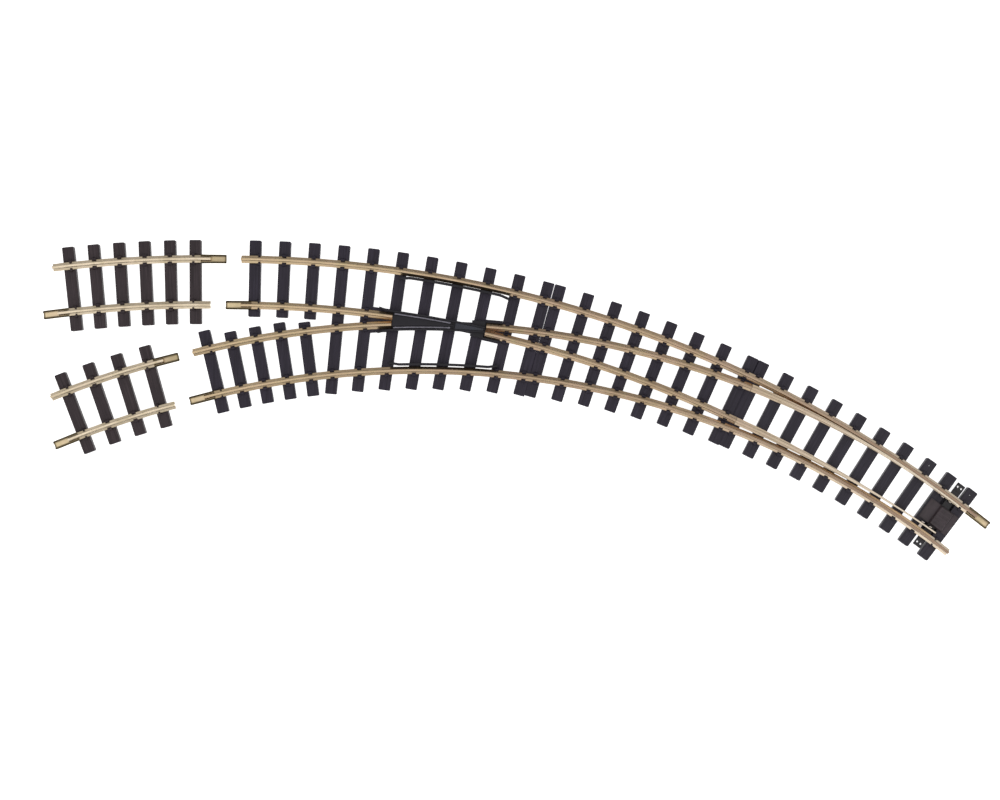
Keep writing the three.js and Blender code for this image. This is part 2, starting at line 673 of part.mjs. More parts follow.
function switchFrame() {
  const regular = places(SWITCH_START, SWITCH_PITCH, SWITCH_SLEEPERS);
  const distances = [...regular, BAR_SLEEPER, TOE_SLEEPER];
  const outsideOnly = (distance) => {
    const [inner, outer] = railsAcross(along(distance), false);
    return [
      ...chairs(inner.centre, inner.angle, inner.radius, OPEN_ROOM, 0),
      ...chairs(outer.centre, outer.angle, outer.radius, 0, OPEN_ROOM),
    ];
  };
  const above = SLEEPER_HEIGHT + PAST;
  const driveHoles = [DRIVE_SLEEPER, TOE_SLEEPER].map((distance) => (
    peg(OUTER_CENTRE, along(distance), OUTER_STOCK + DRIVE_HOLE_OUT, DRIVE_HOLE_RADIUS, 0, above)
  ));
  const pinHoles = BLADES.map(({ pivotReach }) => (
    peg(OUTER_CENTRE, along(BLADE_PIVOT), pivotReach, PIN_RADIUS + GAP, 0, above)
  ));
  const trayAngle = along((BAR_SLEEPER + TOE_SLEEPER) / 2);
  const trayWidth = TOE_SLEEPER - BAR_SLEEPER - SLEEPER_WIDTH + SLEEPER_WALL;
  const barTray = block(OUTER_CENTRE, trayAngle, OUTER_NEAR + BAR_TRAY_INSET, OUTER_STOCK - BAR_TRAY_INSET,
    trayWidth, WEB_LOW, BAR_TRAY_HIGH);
  // grooves that the blades' hold-down tabs slide in, under the stock rails
  const grooveOut = TAB_REACH + 2 * GAP;
  const grooveIn = LUG_FAR + THROW + TAB_GROOVE_SPARE;
  const grooves = [
    [OUTER_STOCK - grooveIn, OUTER_STOCK + grooveOut],
    [OUTER_NEAR - grooveOut, OUTER_NEAR + grooveIn],
  ].map(([near, far]) => (
    block(OUTER_CENTRE, along(TAB_PLACE), near, far, TAB_GROOVE_WIDTH, TAB_LOW - GAP, above)
  ));
  const [toeAngle, startAngle] = [TOE_SLEEPER, SWITCH_START].map((place) => innerAngle(place, INNER_STOCK));
  return frame({
    sleepers: distances.map(sleeperAcross),
    ties: [
      tie(OUTER_CENTRE, OUTER_STOCK, along(TOE_SLEEPER), along(SWITCH_START)),
      tie(INNER_CENTRE, INNER_STOCK, toeAngle, startAngle),
    ],
    grips: [
      ...distances.slice(0, -1).flatMap(outsideOnly),
      ...endChairs(OUTER_CENTRE, OUTER_RADIUS, TOE_ANGLE, 1),
      barTray,
    ],
    cuts: [
      ...joinerRecesses(OUTER_CENTRE, OUTER_RADIUS, TOE_ANGLE, 1),
      ...driveHoles,
      ...pinHoles,
      ...grooves,
      pastJoint(SWITCH_JOINT, 1),
    ],
  });
}

// --------------------------------------------------------------------- frog

// how far a wing or check rail bends away near either end of its run
function flareAt(distance, start, end) {
  const nearest = Math.min(distance - start, end - distance);
  return FLARE_OUT * Math.max(0, 1 - nearest / FLARE_LENGTH);
}

const distanceOf = (outerAngle) => degToRad(OUTER_END_ANGLE - outerAngle) * OUTER_RADIUS;

function frogBody() {
  const back = VEE_BACK + VEE_GAP;
  const throat = THROAT - THROAT_GAP;
  const noFlare = ROUTE_LENGTH;
  const outerWing = (angle) => OUTER_NEAR + WING_OFFSET + flareAt(distanceOf(angle), WING_FLARE, noFlare);
  const flareShare = (angle) => {
    const start = innerAngle(WING_FLARE, INNER_NEAR);
    const end = innerAngle(WING_FLARE + FLARE_LENGTH, INNER_NEAR);
    return Math.max(0, (angle - end) / (start - end));
  };
  const innerWing = (angle) => INNER_NEAR - WING_OFFSET - FLARE_OUT * flareShare(angle);
  const wingBand = rectangle(-WING_THICK / 2, WING_THICK / 2, SEAT, RAIL_TOP);
  const wingStep = radToDeg(FLARE_LENGTH / OUTER_RADIUS);

  const floorHalf = WING_OFFSET + WING_THICK / 2;
  const cheekNear = FOOT_HALF + GAP;
  const cheekFar = cheekNear + CHEEK_THICK;
  const shoulder = throat - SHOULDER_LENGTH;

  const outerBand = (from, to, near, far, high) => (
    sweep(OUTER_CENTRE, OUTER_NEAR, along(from), along(to), rectangle(near, far, SEAT, high))
  );
  const innerBand = (from, to, near, far, high) => {
    const [start, end] = [from, to].map((place) => innerAngle(place, INNER_NEAR));
    return sweep(INNER_CENTRE, INNER_NEAR, start, end, rectangle(near, far, SEAT, high));
  };

  return joined([
    outerBand(back, throat, -FROG_FOOTING, floorHalf, FROG_FLOOR),
    innerBand(back, throat, -floorHalf, FROG_FOOTING, FROG_FLOOR),
    outerBand(back, VEE_NOSE, -VEE_HEEL, HEAD_HALF, RAIL_TOP)
      .intersect(innerBand(back, VEE_NOSE, -HEAD_HALF, VEE_HEEL, RAIL_TOP)),
    sweep(OUTER_CENTRE, outerWing, along(WING_FLARE), along(throat), wingBand, wingStep),
    sweep(INNER_CENTRE, innerWing, innerAngle(WING_FLARE, INNER_NEAR), innerAngle(throat, INNER_NEAR),
      wingBand, wingStep * OUTER_RADIUS / INNER_RADIUS),
    innerBand(shoulder, throat, 0, cheekFar, FROG_FLOOR),
    outerBand(shoulder, throat, -cheekFar, 0, FROG_FLOOR),
    innerBand(shoulder, CHEEK_END, cheekNear, cheekFar, CHEEK_HIGH),
    outerBand(shoulder, CHEEK_END, -cheekFar, -cheekNear, CHEEK_HIGH),
  ]);
}

function frogParts() {
  const level = FROG_FLOOR + GAP;
  const centreLine = HEAD_HALF + FLANGEWAY / 2;
  const start = VEE_BACK + 2 * VEE_GAP;
  const rivetAt = STRIP_END - STRIP_RIVET;
  const strip = (centre, radius, angleAt) => {
    const band = rectangle(-STRIP_WIDTH / 2, STRIP_WIDTH / 2, level, level + STRIP_HIGH);
    return joined([
      sweep(centre, radius, angleAt(start), angleAt(STRIP_END), band),
      peg(centre, angleAt(rivetAt), radius, STRIP_RIVET, level, level + STRIP_HIGH + RIVET_HIGH),
    ]);
  };
  const nearAngle = (distance) => innerAngle(distance, INNER_NEAR);
  const inside = WING_OFFSET - WING_THICK / 2 - GAP;
  const plate = sweep(OUTER_CENTRE, OUTER_NEAR, along(PLATE_FROM), along(PLATE_TO),
    rectangle(-3 * inside, inside, level, level + PLATE_HIGH))
    .intersect(sweep(INNER_CENTRE, INNER_NEAR, nearAngle(PLATE_FROM), nearAngle(PLATE_TO),
      rectangle(-inside, 3 * inside, level, level + PLATE_HIGH)));
  return [
    piece('frog_body', frogBody(), FROG_BLACK),
    piece('frog_strip_outer', strip(OUTER_CENTRE, OUTER_NEAR + centreLine, along), STEEL),
    piece('frog_strip_inner', strip(INNER_CENTRE, INNER_NEAR - centreLine, nearAngle), STEEL),
    piece('frog_throat_plate', plate, THROAT_BLUE),
  ];
}

function checkRails() {
  const band = rectangle(-CHECK_THICK / 2, CHECK_THICK / 2, SEAT, CHECK_HIGH);
  const [outerStart, outerEnd] = OUTER_CHECK;
  const outerRadius = (angle) => (
    OUTER_STOCK - CHECK_OFFSET - flareAt(distanceOf(angle), outerStart, outerEnd)
  );
  const [innerStart, innerEnd] = INNER_CHECK;
  const fromToe = (angle) => degToRad(angle - TOE_ANGLE) * INNER_RADIUS;
  const innerRadius = (angle) => INNER_STOCK + CHECK_OFFSET + flareAt(fromToe(angle), innerStart, innerEnd);
  const innerPlace = (distance) => TOE_ANGLE + radToDeg(distance / INNER_RADIUS);
  const outer = sweep(OUTER_CENTRE, outerRadius, along(outerStart), along(outerEnd), band,
    radToDeg(FLARE_LENGTH / OUTER_RADIUS));
  const inner = sweep(INNER_CENTRE, innerRadius, innerPlace(innerStart), innerPlace(innerEnd), band,
    radToDeg(FLARE_LENGTH / INNER_RADIUS));
  return [piece('check_rail_outer', outer, FROG_BLACK), piece('check_rail_inner', inner, FROG_BLACK)];
}

// ------------------------------------------------------ blades and throw bar

// Each blade closes against its stock rail. `towards` is the side that the
// stock rail lies on: +1 outward, -1 inward.
const BLADES = [
  {
    name: 'outer',
    towards: 1,
    open: false,
    centre: INNER_CENTRE,
    radius: INNER_NEAR,
    angleAt: (distance) => innerAngle(distance, INNER_NEAR),
    pivotReach: crossing(along(BLADE_PIVOT), INNER_NEAR).reach,
    stockCentre: OUTER_CENTRE,
    stockRadius: OUTER_STOCK,
    stockAngleAt: along,
  },
  {
    name: 'inner',
    towards: -1,
    open: true,
    centre: OUTER_CENTRE,
    radius: OUTER_NEAR,
    angleAt: along,
    pivotReach: OUTER_NEAR,
    stockCentre: INNER_CENTRE,
    stockRadius: INNER_STOCK,
    stockAngleAt: (distance) => innerAngle(distance, INNER_STOCK),
  },
];

const BAR_ARM = degToRad(along(BLADE_PIVOT) - along(BAR_PLACE)) * OUTER_RADIUS;
const TIP_ARM = degToRad(along(BLADE_PIVOT) - along(BLADE_TIP)) * OUTER_RADIUS;
const OPEN_TURN = THROW / BAR_ARM;

function bladeParts(blade) {
  const { centre, radius, angleAt, towards, stockCentre, stockRadius, stockAngleAt } = blade;
  const pivot = onCircle(OUTER_CENTRE, blade.pivotReach, along(BLADE_PIVOT));
  // seen from above, a blade turns anticlockwise about its heel to move its tip outward
  const setOff = -towards * BLADE_SET_OFF / TIP_ARM;
  const opening = blade.open ? -towards * OPEN_TURN : 0;

  const heelAngle = angleAt(HEEL);
  const tipAngle = angleAt(BLADE_TIP);
  const taperAngle = angleAt(HEEL + BLADE_TAPER);
  const footHalf = (angle) => (
    lerp(FOOT_HALF, BLADE_FOOT_TIP, Math.min(1, (angle - heelAngle) / (taperAngle - heelAngle)))
  );
  const trims = [[-1, -FOOT_HALF, 0], [1, 0, FOOT_HALF]].map(([side, near, far]) => {
    const edge = (angle) => radius + side * footHalf(angle);
    const band = rectangle(near, far, SEAT - PAST, RAIL_TOP + PAST);
    return sweep(centre, edge, heelAngle + BLADE_TRIM_SPARE, tipAngle - BLADE_TRIM_SPARE, band);
  });
  const room = sweep(stockCentre, stockRadius, stockAngleAt(HEEL - STOCK_ROOM_SPARE),
    stockAngleAt(BLADE_TIP + STOCK_ROOM_SPARE), stockRoom(towards));
  const swept = without(sweep(centre, radius, heelAngle, tipAngle, BLADE_OUTLINE), trims);
  const closed = turnedAbout(swept, pivot, setOff).subtract(room);

  // a bracket's outline is given as [distance from the stock rail towards the blade, height]
  const bracket = (place, length, outline) => {
    const turned = outline.map(([out, height]) => [-towards * out, height]);
    const halfSweep = radToDeg(length / stockRadius) / 2;
    const angle = stockAngleAt(place);
    return sweep(stockCentre, stockRadius, angle - halfSweep, angle + halfSweep, turned);
  };
  const lug = bracket(BAR_PLACE, LUG_LENGTH, rectangle(LUG_NEAR, LUG_FAR, LUG_LOW, LUG_HIGH));
  const tab = bracket(TAB_PLACE, TAB_LENGTH, [
    [-TAB_REACH, TAB_LOW], [LUG_FAR, TAB_LOW], [LUG_FAR, LUG_HIGH],
    [LUG_NEAR, LUG_HIGH], [LUG_NEAR, TAB_HIGH], [-TAB_REACH, TAB_HIGH],
  ]);
  const pin = peg(OUTER_CENTRE, along(BLADE_PIVOT), blade.pivotReach, PIN_RADIUS, PIN_LOW, SLEEPER_HEIGHT);
  const atRest = (solid) => turnedAbout(solid, pivot, opening);
  return [
    piece(`blade_${blade.name}`, atRest(closed), RAIL_BRASS),
    piece(`blade_lug_${blade.name}`, atRest(lug), STEEL),
    piece(`blade_tab_${blade.name}`, atRest(tab), STEEL),
    piece(`heel_pin_${blade.name}`, pin, STEEL),
  ];
}

function throwBar() {
  const angle = along(BAR_PLACE);
  const outerEnd = OUTER_RADIUS + BAR_OUTER_END;
  const innerEnd = outerEnd - BAR_LENGTH;
  const lugMiddle = (LUG_NEAR + LUG_FAR) / 2;
  const slotHalf = (LUG_FAR - LUG_NEAR) / 2 + LUG_PLAY;
  const low = BAR_LOW - PAST;
  const high = BAR_HIGH + PAST;
  const slots = [OUTER_STOCK - lugMiddle, OUTER_NEAR + lugMiddle + THROW].map((reach) => (
    block(OUTER_CENTRE, angle, reach - slotHalf, reach + slotHalf, LUG_SLOT_LENGTH, low, high)
  ));
  const holes = [outerEnd - BAR_HOLE_INSET, innerEnd + BAR_HOLE_INSET].flatMap((reach) => (
    [-BAR_HOLE_APART / 2, BAR_HOLE_APART / 2].map((shift) => (
      peg(OUTER_CENTRE, angle, reach, BAR_HOLE, low, high, shift)
    ))
  ));
  const knobNear = OUTER_RADIUS + THROW / 2 - KNOB_HALF;
  const knobFar = knobNear + 2 * KNOB_HALF;
  const knob = block(OUTER_CENTRE, angle, knobNear, knobFar, 2 * KNOB_HALF, BAR_LOW, KNOB_HIGH);
  const bar = block(OUTER_CENTRE, angle, innerEnd, outerEnd, BAR_WIDTH, BAR_LOW, BAR_HIGH);
  return piece('throw_bar', without(joined([bar, knob]), [...slots, ...holes]), BAR_BLACK);
}

// The cover bridges the two toe sleepers; its ribbed box holds the detent.
function toeCover() {
  const middleOf = (from, to) => along(ROUTE_LENGTH - (from + to) / 2);
  const near = OUTER_RADIUS - COVER_HALF;
  const far = OUTER_RADIUS + COVER_HALF;
  const plateAngle = middleOf(COVER_FROM, COVER_TO);
  const plate = block(OUTER_CENTRE, plateAngle, near, far, COVER_TO - COVER_FROM, SEAT, SEAT + COVER_PLATE);
  const boxAngle = middleOf(BOX_FROM, BOX_TO);
  const boxLength = BOX_TO - BOX_FROM;
  const box = block(OUTER_CENTRE, boxAngle, near, far, boxLength, SEAT, BOX_HIGH);
  const ribPitch = 2 * COVER_HALF / RIB_COUNT;
  const halfGroove = ribPitch * RIB_GROOVE_SHARE / 2;
  const grooveLow = BOX_HIGH - RIB_HIGH;
  const grooves = places(near + ribPitch, ribPitch, RIB_COUNT - 1).map((reach) => (
    block(OUTER_CENTRE, boxAngle, reach - halfGroove, reach + halfGroove,
      boxLength + 2 * PAST, grooveLow, BOX_HIGH + PAST)
  ));
  const room = block(OUTER_CENTRE, boxAngle, near + COVER_WALL, far - COVER_WALL,
    boxLength - 2 * COVER_WALL, SEAT - PAST, BOX_HIGH - COVER_ROOF);
  return piece('toe_cover', without(joined([plate, box]), [room, ...grooves]), COVER_BROWN);
}

// A leaf with a hump between the two positions of the throw bar's knob.
function detentSpring() {
  const half = COVER_HALF - COVER_WALL - GAP;
  const line = [
    [-half, -LEAF_END_BACK], [-LEAF_BEND_AT, -LEAF_BACK], [-HUMP_HALF, -HUMP_BACK], [0, -KNOB_HALF - GAP],
    [HUMP_HALF, -HUMP_BACK], [LEAF_BEND_AT, -LEAF_BACK], [half, -LEAF_END_BACK],
  ];
  const outline = [...line, ...line.map(([across, out]) => [across, out - LEAF_THICK]).reverse()];
  const shape = new THREE.Shape(outline.map(([across, out]) => new THREE.Vector2(across, out)));
  const leaf = new THREE.ExtrudeGeometry(shape, { depth: LEAF_HIGH, bevelEnabled: false });
  leaf.translate(OUTER_RADIUS, 0, SEAT + LEAF_LIFT);
  leaf.rotateZ(degToRad(along(BAR_PLACE)));
  leaf.translate(OUTER_CENTRE.x, OUTER_CENTRE.y, 0);
  return piece('detent_spring', solidOf(leaf), STEEL);
}

// ----------------------------------------------------------------- adapters

// A short plain track that carries a leg on round the same curve. It is drawn
// plugged in and then slid back along the tangent of the leg's end.
function adapter(name, centre, radius, startAngle, { sleepers: count, pitch }) {
  const endAngle = startAngle + ADAPTER_SWEEP;
  const middle = (startAngle + endAngle) / 2;
  const pitchAngle = radToDeg(pitch / radius);
  const angles = places(middle - (count - 1) / 2 * pitchAngle, pitchAngle, count);
  const inside = radius - HALF_SPACING;
  const outside = radius + HALF_SPACING;
  const body = frame({
    sleepers: angles.map((angle) => (
      sleeper(centre, angle, inside - SLEEPER_OVERHANG, outside + SLEEPER_OVERHANG)
    )),
    ties: [inside, outside].map((reach) => tie(centre, reach, angles[0], angles[count - 1])),
    grips: [
      ...angles.slice(1, -1).flatMap((angle) => [inside, outside].flatMap((reach) => (
        chairs(centre, angle, reach, OPEN_ROOM, OPEN_ROOM)
      ))),
      ...endChairs(centre, radius, startAngle, 1),
      ...endChairs(centre, radius, endAngle, -1),
    ],
    cuts: [
      ...joinerRecesses(centre, radius, startAngle, 1),
      ...joinerRecesses(centre, radius, endAngle, -1),
    ],
  });
  const parts = [
    piece(`adapter_${name}_sleepers`, body, ADAPTER_BROWN),
    piece(`adapter_${name}_rail_far`, rail(centre, outside, startAngle, endAngle), RAIL_BRASS),
    piece(`adapter_${name}_rail_near`, rail(centre, inside, startAngle, endAngle), RAIL_BRASS),
    piece(`adapter_${name}_joiner_right`, joiner(centre, outside, startAngle, -1), JOINER_BRASS),
    piece(`adapter_${name}_joiner_left`, joiner(centre, inside, endAngle, 1), JOINER_BRASS),
  ];
  const group = new THREE.Group();
  group.add(...parts);
  const heading = degToRad(startAngle + 90);
  group.position.set(ADAPTER_PULLED_OUT * Math.cos(heading), ADAPTER_PULLED_OUT * Math.sin(heading), 0);
  return group;
}

// ----------------------------------------------------------------- assembly

const turnout = new THREE.Group();
turnout.add(
  piece('sleeper_frame_legs', legFrame(), SLEEPER_BLACK),
  piece('sleeper_frame_middle', middleFrame(), SLEEPER_BLACK),
  piece('sleeper_frame_switch', switchFrame(), SLEEPER_BLACK),
  ...fixedRails(),
  ...frogParts(),
  ...checkRails(),
  piece('joiner_outer_leg', joiner(OUTER_CENTRE, OUTER_NEAR, OUTER_END_ANGLE, 1), JOINER_BRASS),
  piece('joiner_inner_leg', joiner(INNER_CENTRE, INNER_STOCK, INNER_END_ANGLE, 1), JOINER_BRASS),
  piece('joiner_toe', joiner(OUTER_CENTRE, OUTER_STOCK, TOE_ANGLE, -1), JOINER_BRASS),
  toeCover(),
  detentSpring(),
  throwBar(),
  ...BLADES.flatMap(bladeParts),
  ...Object.entries(FEEDS).map(([name, place]) => piece(name, feedStrip(place), STEEL)),
);

const assembly = new THREE.Group();
assembly.add(
  turnout,
  adapter('outer', OUTER_CENTRE, OUTER_RADIUS, OUTER_END_ANGLE, OUTER_ADAPTER),
  adapter('inner', INNER_CENTRE, INNER_RADIUS, INNER_END_ANGLE, INNER_ADAPTER),
);

// the origin is the middle of the whole set's footprint, on the baseboard
const footprint = new THREE.Box3().setFromObject(assembly);
const middle = footprint.getCenter(new THREE.Vector3());
assembly.position.set(-middle.x, -middle.y, 0);

export default assembly;
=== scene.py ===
"""The looks of a curved model railway turnout and its two adapter tracks.

Every shape is worked out in millimetres from the two routes, which are arcs
that share their tangent at the toe. A place along the turnout is a distance
from the end of the outer leg, measured on the outer route's centre line.
"""

import json
import math
from functools import partial

import bmesh
import bpy
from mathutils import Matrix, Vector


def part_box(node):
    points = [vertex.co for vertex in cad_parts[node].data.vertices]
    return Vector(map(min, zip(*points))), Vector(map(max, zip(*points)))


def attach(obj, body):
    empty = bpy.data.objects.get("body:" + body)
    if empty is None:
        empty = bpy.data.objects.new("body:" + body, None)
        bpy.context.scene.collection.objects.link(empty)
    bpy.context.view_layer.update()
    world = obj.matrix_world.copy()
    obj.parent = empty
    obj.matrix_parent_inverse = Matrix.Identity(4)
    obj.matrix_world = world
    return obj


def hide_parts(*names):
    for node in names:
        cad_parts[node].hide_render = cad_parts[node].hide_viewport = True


MM = 0.001

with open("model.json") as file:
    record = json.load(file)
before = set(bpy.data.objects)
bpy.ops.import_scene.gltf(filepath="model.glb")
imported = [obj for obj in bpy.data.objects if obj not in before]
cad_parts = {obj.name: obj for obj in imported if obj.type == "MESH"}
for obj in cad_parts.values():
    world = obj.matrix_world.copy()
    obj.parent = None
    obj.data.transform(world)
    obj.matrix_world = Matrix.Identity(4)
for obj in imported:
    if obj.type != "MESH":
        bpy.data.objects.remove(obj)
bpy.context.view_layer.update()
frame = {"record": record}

# -------------------- dimensions, mm

OUTER_RADIUS = 1240.0
INNER_RADIUS = 920.0
TOE_ANGLE = 52.5
OUTER_END_ANGLE = 90.0
INNER_END_ANGLE = 105.0
ADAPTER_SWEEP = 7.5
ADAPTER_PULLED_OUT = 31.5
HALF_SPACING = 24.0

SLEEPER_WIDTH = 12.0
SLEEPER_CORNER = 1.1
SLEEPER_HEIGHT = 11.5
SLEEPER_OVERHANG = 20.0
SLEEPER_WALL = 1.6
SLEEPER_ROOF = 2.5
TIE_WIDTH = 4.0
TIE_LOW = 1.0
TIE_HIGH = 6.0

GAP = 0.3
SEAT = SLEEPER_HEIGHT + GAP
RAIL_HEIGHT = 8.4
RAIL_TOP = SEAT + RAIL_HEIGHT
FOOT_HALF = 4.0
HEAD_HALF = 1.5

CHAIR_LENGTH = 4.4
CHAIR_WIDTH = 2.0
CHAIR_LEAST = 0.35
OPEN_ROOM = 2 * SLEEPER_OVERHANG

JOINER_LENGTH = 27.0
JOINER_REACH = 16.0
JOINER_HALF = 4.8
JOINER_SLANT = 2.4
RECESS_LENGTH = 17.5
RECESS_FLOOR = SLEEPER_HEIGHT - 1
END_CHAIR_AT = 18.1
END_CHAIR_LENGTH = 3.0

ROUTE_LENGTH = math.radians(OUTER_END_ANGLE - TOE_ANGLE) * OUTER_RADIUS
FIRST_SLEEPER = 13.8
LEG_PITCH = 30.0
LEG_SLEEPERS = 11
OUTER_LEG_ONLY = 3
MIDDLE_START = 326.2
MIDDLE_PITCH = 29.7
MIDDLE_SLEEPERS = 8
SWITCH_START = 546.1
SWITCH_PITCH = 28.1
SWITCH_SLEEPERS = 8
BAR_SLEEPER = ROUTE_LENGTH - 43.9
TOE_SLEEPER = ROUTE_LENGTH - 17.9
LEG_JOINT = 320.0
SWITCH_JOINT = 540.1
JOINT_GAP = 0.02
HEEL = 545.3
BLADE_PIVOT = 547.5
BLADE_TIP = ROUTE_LENGTH - 23
TAB_PLACE = ROUTE_LENGTH - 39.9
BAR_PLACE = ROUTE_LENGTH - 30.5

LEG_INNER_OVERHANG = 11.8
INNER_LEG_FIRST = 15.5
INNER_LEG_PITCH = 25.1
INNER_LEG_OVERHANGS = (20, 13, 13, 13, 10)

WING_FLARE = 147.0
VEE_BACK = 162.0
VEE_GAP = 1.0
VEE_NOSE = 228.0
STRIP_END = 224.0
THROAT = 262.0
THROAT_GAP = 1.3
SHOULDER_LENGTH = 14.0
CHEEK_END = 279.0
FROG_FLOOR = SEAT + 4.4
FLANGEWAY = 3.2
WING_THICK = 1.8
WING_OFFSET = HEAD_HALF + FLANGEWAY + WING_THICK / 2
FLARE_LENGTH = 10.0
FLARE_OUT = 2.0
STRIP_WIDTH = 1.8
STRIP_HIGH = 0.6
STRIP_RIVET = 1.25
RIVET_HIGH = 0.3
CHEEK_THICK = 1.6
CHEEK_HIGH = SEAT + 3.6

FROG_TRAYS = ((139.0, 158.6), (259.0, 278.6))
FROG_TRAY_HALF = 7.5
FROG_TRAY_LOW = 7.0
BAR_TRAY_HIGH = 5.8
BAR_TRAY_INSET = 2.0

OUTER_CHECK_OFFSET = 5.8
INNER_CHECK_OFFSET = 6.3
CHECK_THICK = 2.6
CHECK_HIGH = RAIL_TOP + 0.4
OUTER_CHECK = (164.0, 279.0)
INNER_CHECK = (527.0, 642.0)

FEED_WIDTH = 3.0
FEED_SHEET = 0.8
FEED_LOW = 4.0

THROW = 5.8
BLADE_SET_OFF = 2.0
BLADE_FOOT_TIP = 1.7
BLADE_TAPER = 150.0
STOCK_FOOT_ROOM = 2.0
BAR_WIDTH = 9.0
BAR_LOW = 6.8
BAR_HIGH = 11.2
BAR_OUTER_END = 41.6
BAR_LENGTH = 79.6
KNOB_HALF = 1.5
KNOB_HIGH = 14.6
INNER_RIBS = (8.6, 17.5, 20.5)
OUTER_RIBS = (8.6, 20.5)
SLOT_HALF = 0.9
SLOT_ROOM = 2.4
EYE_INSET = 4.2
EYE_SHIFT = 2.1
EYE_RADIUS = 1.1
PIN_RADIUS = 1.2
PIN_LOW = 7.6
LUG_NEAR = 4.3
LUG_FAR = 5.3
LUG_LENGTH = 3.0
TAB_LENGTH = 3.5
LUG_HIGH = SEAT + 3.7
LUG_LOW = 7.6
TAB_LOW = SLEEPER_HEIGHT - 1.2
TAB_HIGH = SLEEPER_HEIGHT - 0.1
TAB_REACH = 4.0
TAB_ROOM = 2.2

COVER_HALF = 11.6
COVER_SHEET = 1.2
COVER_FROM = 13.0
COVER_TO = 48.0
BOX_FROM = 18.7
BOX_TO = 36.3
BOX_HIGH = 17.8
BOX_WALL = 1.4
RIB_COUNT = 5
DRIVE_SLEEPER = SWITCH_START + (SWITCH_SLEEPERS - 1) * SWITCH_PITCH
DRIVE_HOLE_RADIUS = 0.45
DRIVE_HOLE_OUT = 13.6

# -------------------- the routes


def on_circle(centre, radius, angle):
    turn = math.radians(angle)
    return (centre[0] + radius * math.cos(turn), centre[1] + radius * math.sin(turn))


def along(distance):
    """The angle about the outer centre of a distance from the outer leg's end."""
    return OUTER_END_ANGLE - math.degrees(distance / OUTER_RADIUS)


def distance_of(angle):
    return math.radians(OUTER_END_ANGLE - angle) * OUTER_RADIUS


def crossing(outer_angle, radius):
    """Where the ray from the outer centre meets a circle about the inner one."""
    apart = OUTER_RADIUS - INNER_RADIUS
    lean = math.radians(outer_angle - TOE_ANGLE)
    reach = apart * math.cos(lean) + math.sqrt(radius**2 - (apart * math.sin(lean)) ** 2)
    x, y = on_circle(OUTER_CENTRE, reach, outer_angle)
    angle = math.degrees(math.atan2(y - INNER_CENTRE[1], x - INNER_CENTRE[0]))
    return reach, angle


class Line:
    """The arc that a rail follows, with its places told by their distances."""

    def __init__(self, centre, radius):
        self.centre = centre
        self.radius = radius

    def angle(self, distance):
        """The place's angle about the line's own centre."""
        if self.centre == OUTER_CENTRE:
            return along(distance)
        return crossing(along(distance), self.radius)[1]

    def reach(self, distance):
        """How far the place lies from the outer centre."""
        if self.centre == OUTER_CENTRE:
            return self.radius
        return crossing(along(distance), self.radius)[0]

    def band(self, start, end, outline, step=0.6):
        return sweep(self.centre, self.radius, self.angle(start), self.angle(end), outline, step)


# The outer leg ends straight above the outer route's centre, so that end of the
# outer stock rail gives the centre.
stock_low, stock_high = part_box("stock_rail_outer")
OUTER_CENTRE = (
    stock_low.x / MM,
    stock_high.y / MM - (OUTER_RADIUS + HALF_SPACING + FOOT_HALF),
)
TOE = on_circle(OUTER_CENTRE, OUTER_RADIUS, TOE_ANGLE)
INNER_CENTRE = on_circle(TOE, -INNER_RADIUS, TOE_ANGLE)

OUTER_STOCK = Line(OUTER_CENTRE, OUTER_RADIUS + HALF_SPACING)
OUTER_NEAR = Line(OUTER_CENTRE, OUTER_RADIUS - HALF_SPACING)
INNER_NEAR = Line(INNER_CENTRE, INNER_RADIUS + HALF_SPACING)
INNER_STOCK = Line(INNER_CENTRE, INNER_RADIUS - HALF_SPACING)

# -------------------- shells
# A shell is (points in mm, faces) of one closed surface.


def tube_faces(rings, count):
    """The sides and ends of a tube through rings of so many points."""
    faces = []
    for ring in range(rings - 1):
        for side in range(count):
            a = ring * count + side
            b = ring * count + (side + 1) % count
            faces.append((a, b, b + count, a + count))
    faces.append(tuple(reversed(range(count))))
    faces.append(tuple((rings - 1) * count + side for side in range(count)))
    return faces


def sweep(centre, radius, start, end, outline, step=0.6):
    """Carries an outline of (outward offset, height) round an arc."""
    radius_at = radius if callable(radius) else (lambda angle: radius)
    steps = max(1, math.ceil(abs(end - start) / step))
    points = []
    for ring in range(steps + 1):
        angle = start + (end - start) * ring / steps
        base = radius_at(angle)
        for out, height in outline:
            points.append((*on_circle(centre, base + out, angle), height))
    return points, tube_faces(steps + 1, len(outline))


def placed(shell, centre, angle, reach=0.0, shift=0.0):
    """Moves a shell drawn round the origin, +X outward, to a place on the track."""
    turn = math.radians(angle)
    cosine, sine = math.cos(turn), math.sin(turn)
    points = []
    for x, y, z in shell[0]:
        out, side = x + reach, y + shift
        points.append((centre[0] + out * cosine - side * sine, centre[1] + out * sine + side * cosine, z))
    return points, shell[1]


def at(distance, shell, reach=0.0, shift=0.0):
    """Moves a shell to the outer route's distance."""
    return placed(shell, OUTER_CENTRE, along(distance), reach, shift)


def turned_about(shell, pivot, turn):
    return placed(shell, pivot, math.degrees(turn), -pivot[0], -pivot[1])


def prism(outline, low, high):
    """An outline of (x, y) points between two levels."""
    count = len(outline)
    points = [(x, y, low) for x, y in outline] + [(x, y, high) for x, y in outline]
    faces = [tuple(reversed(range(count))), tuple(range(count, 2 * count))]
    faces += [(i, (i + 1) % count, (i + 1) % count + count, i + count) for i in range(count)]
    return points, faces


def profile_bar(outline, length):
    """An outline of (x, z) points carried along Y, centred on the origin."""
    points, faces = prism(outline, -length / 2, length / 2)
    return [(x, -z, y) for x, y, z in points], faces


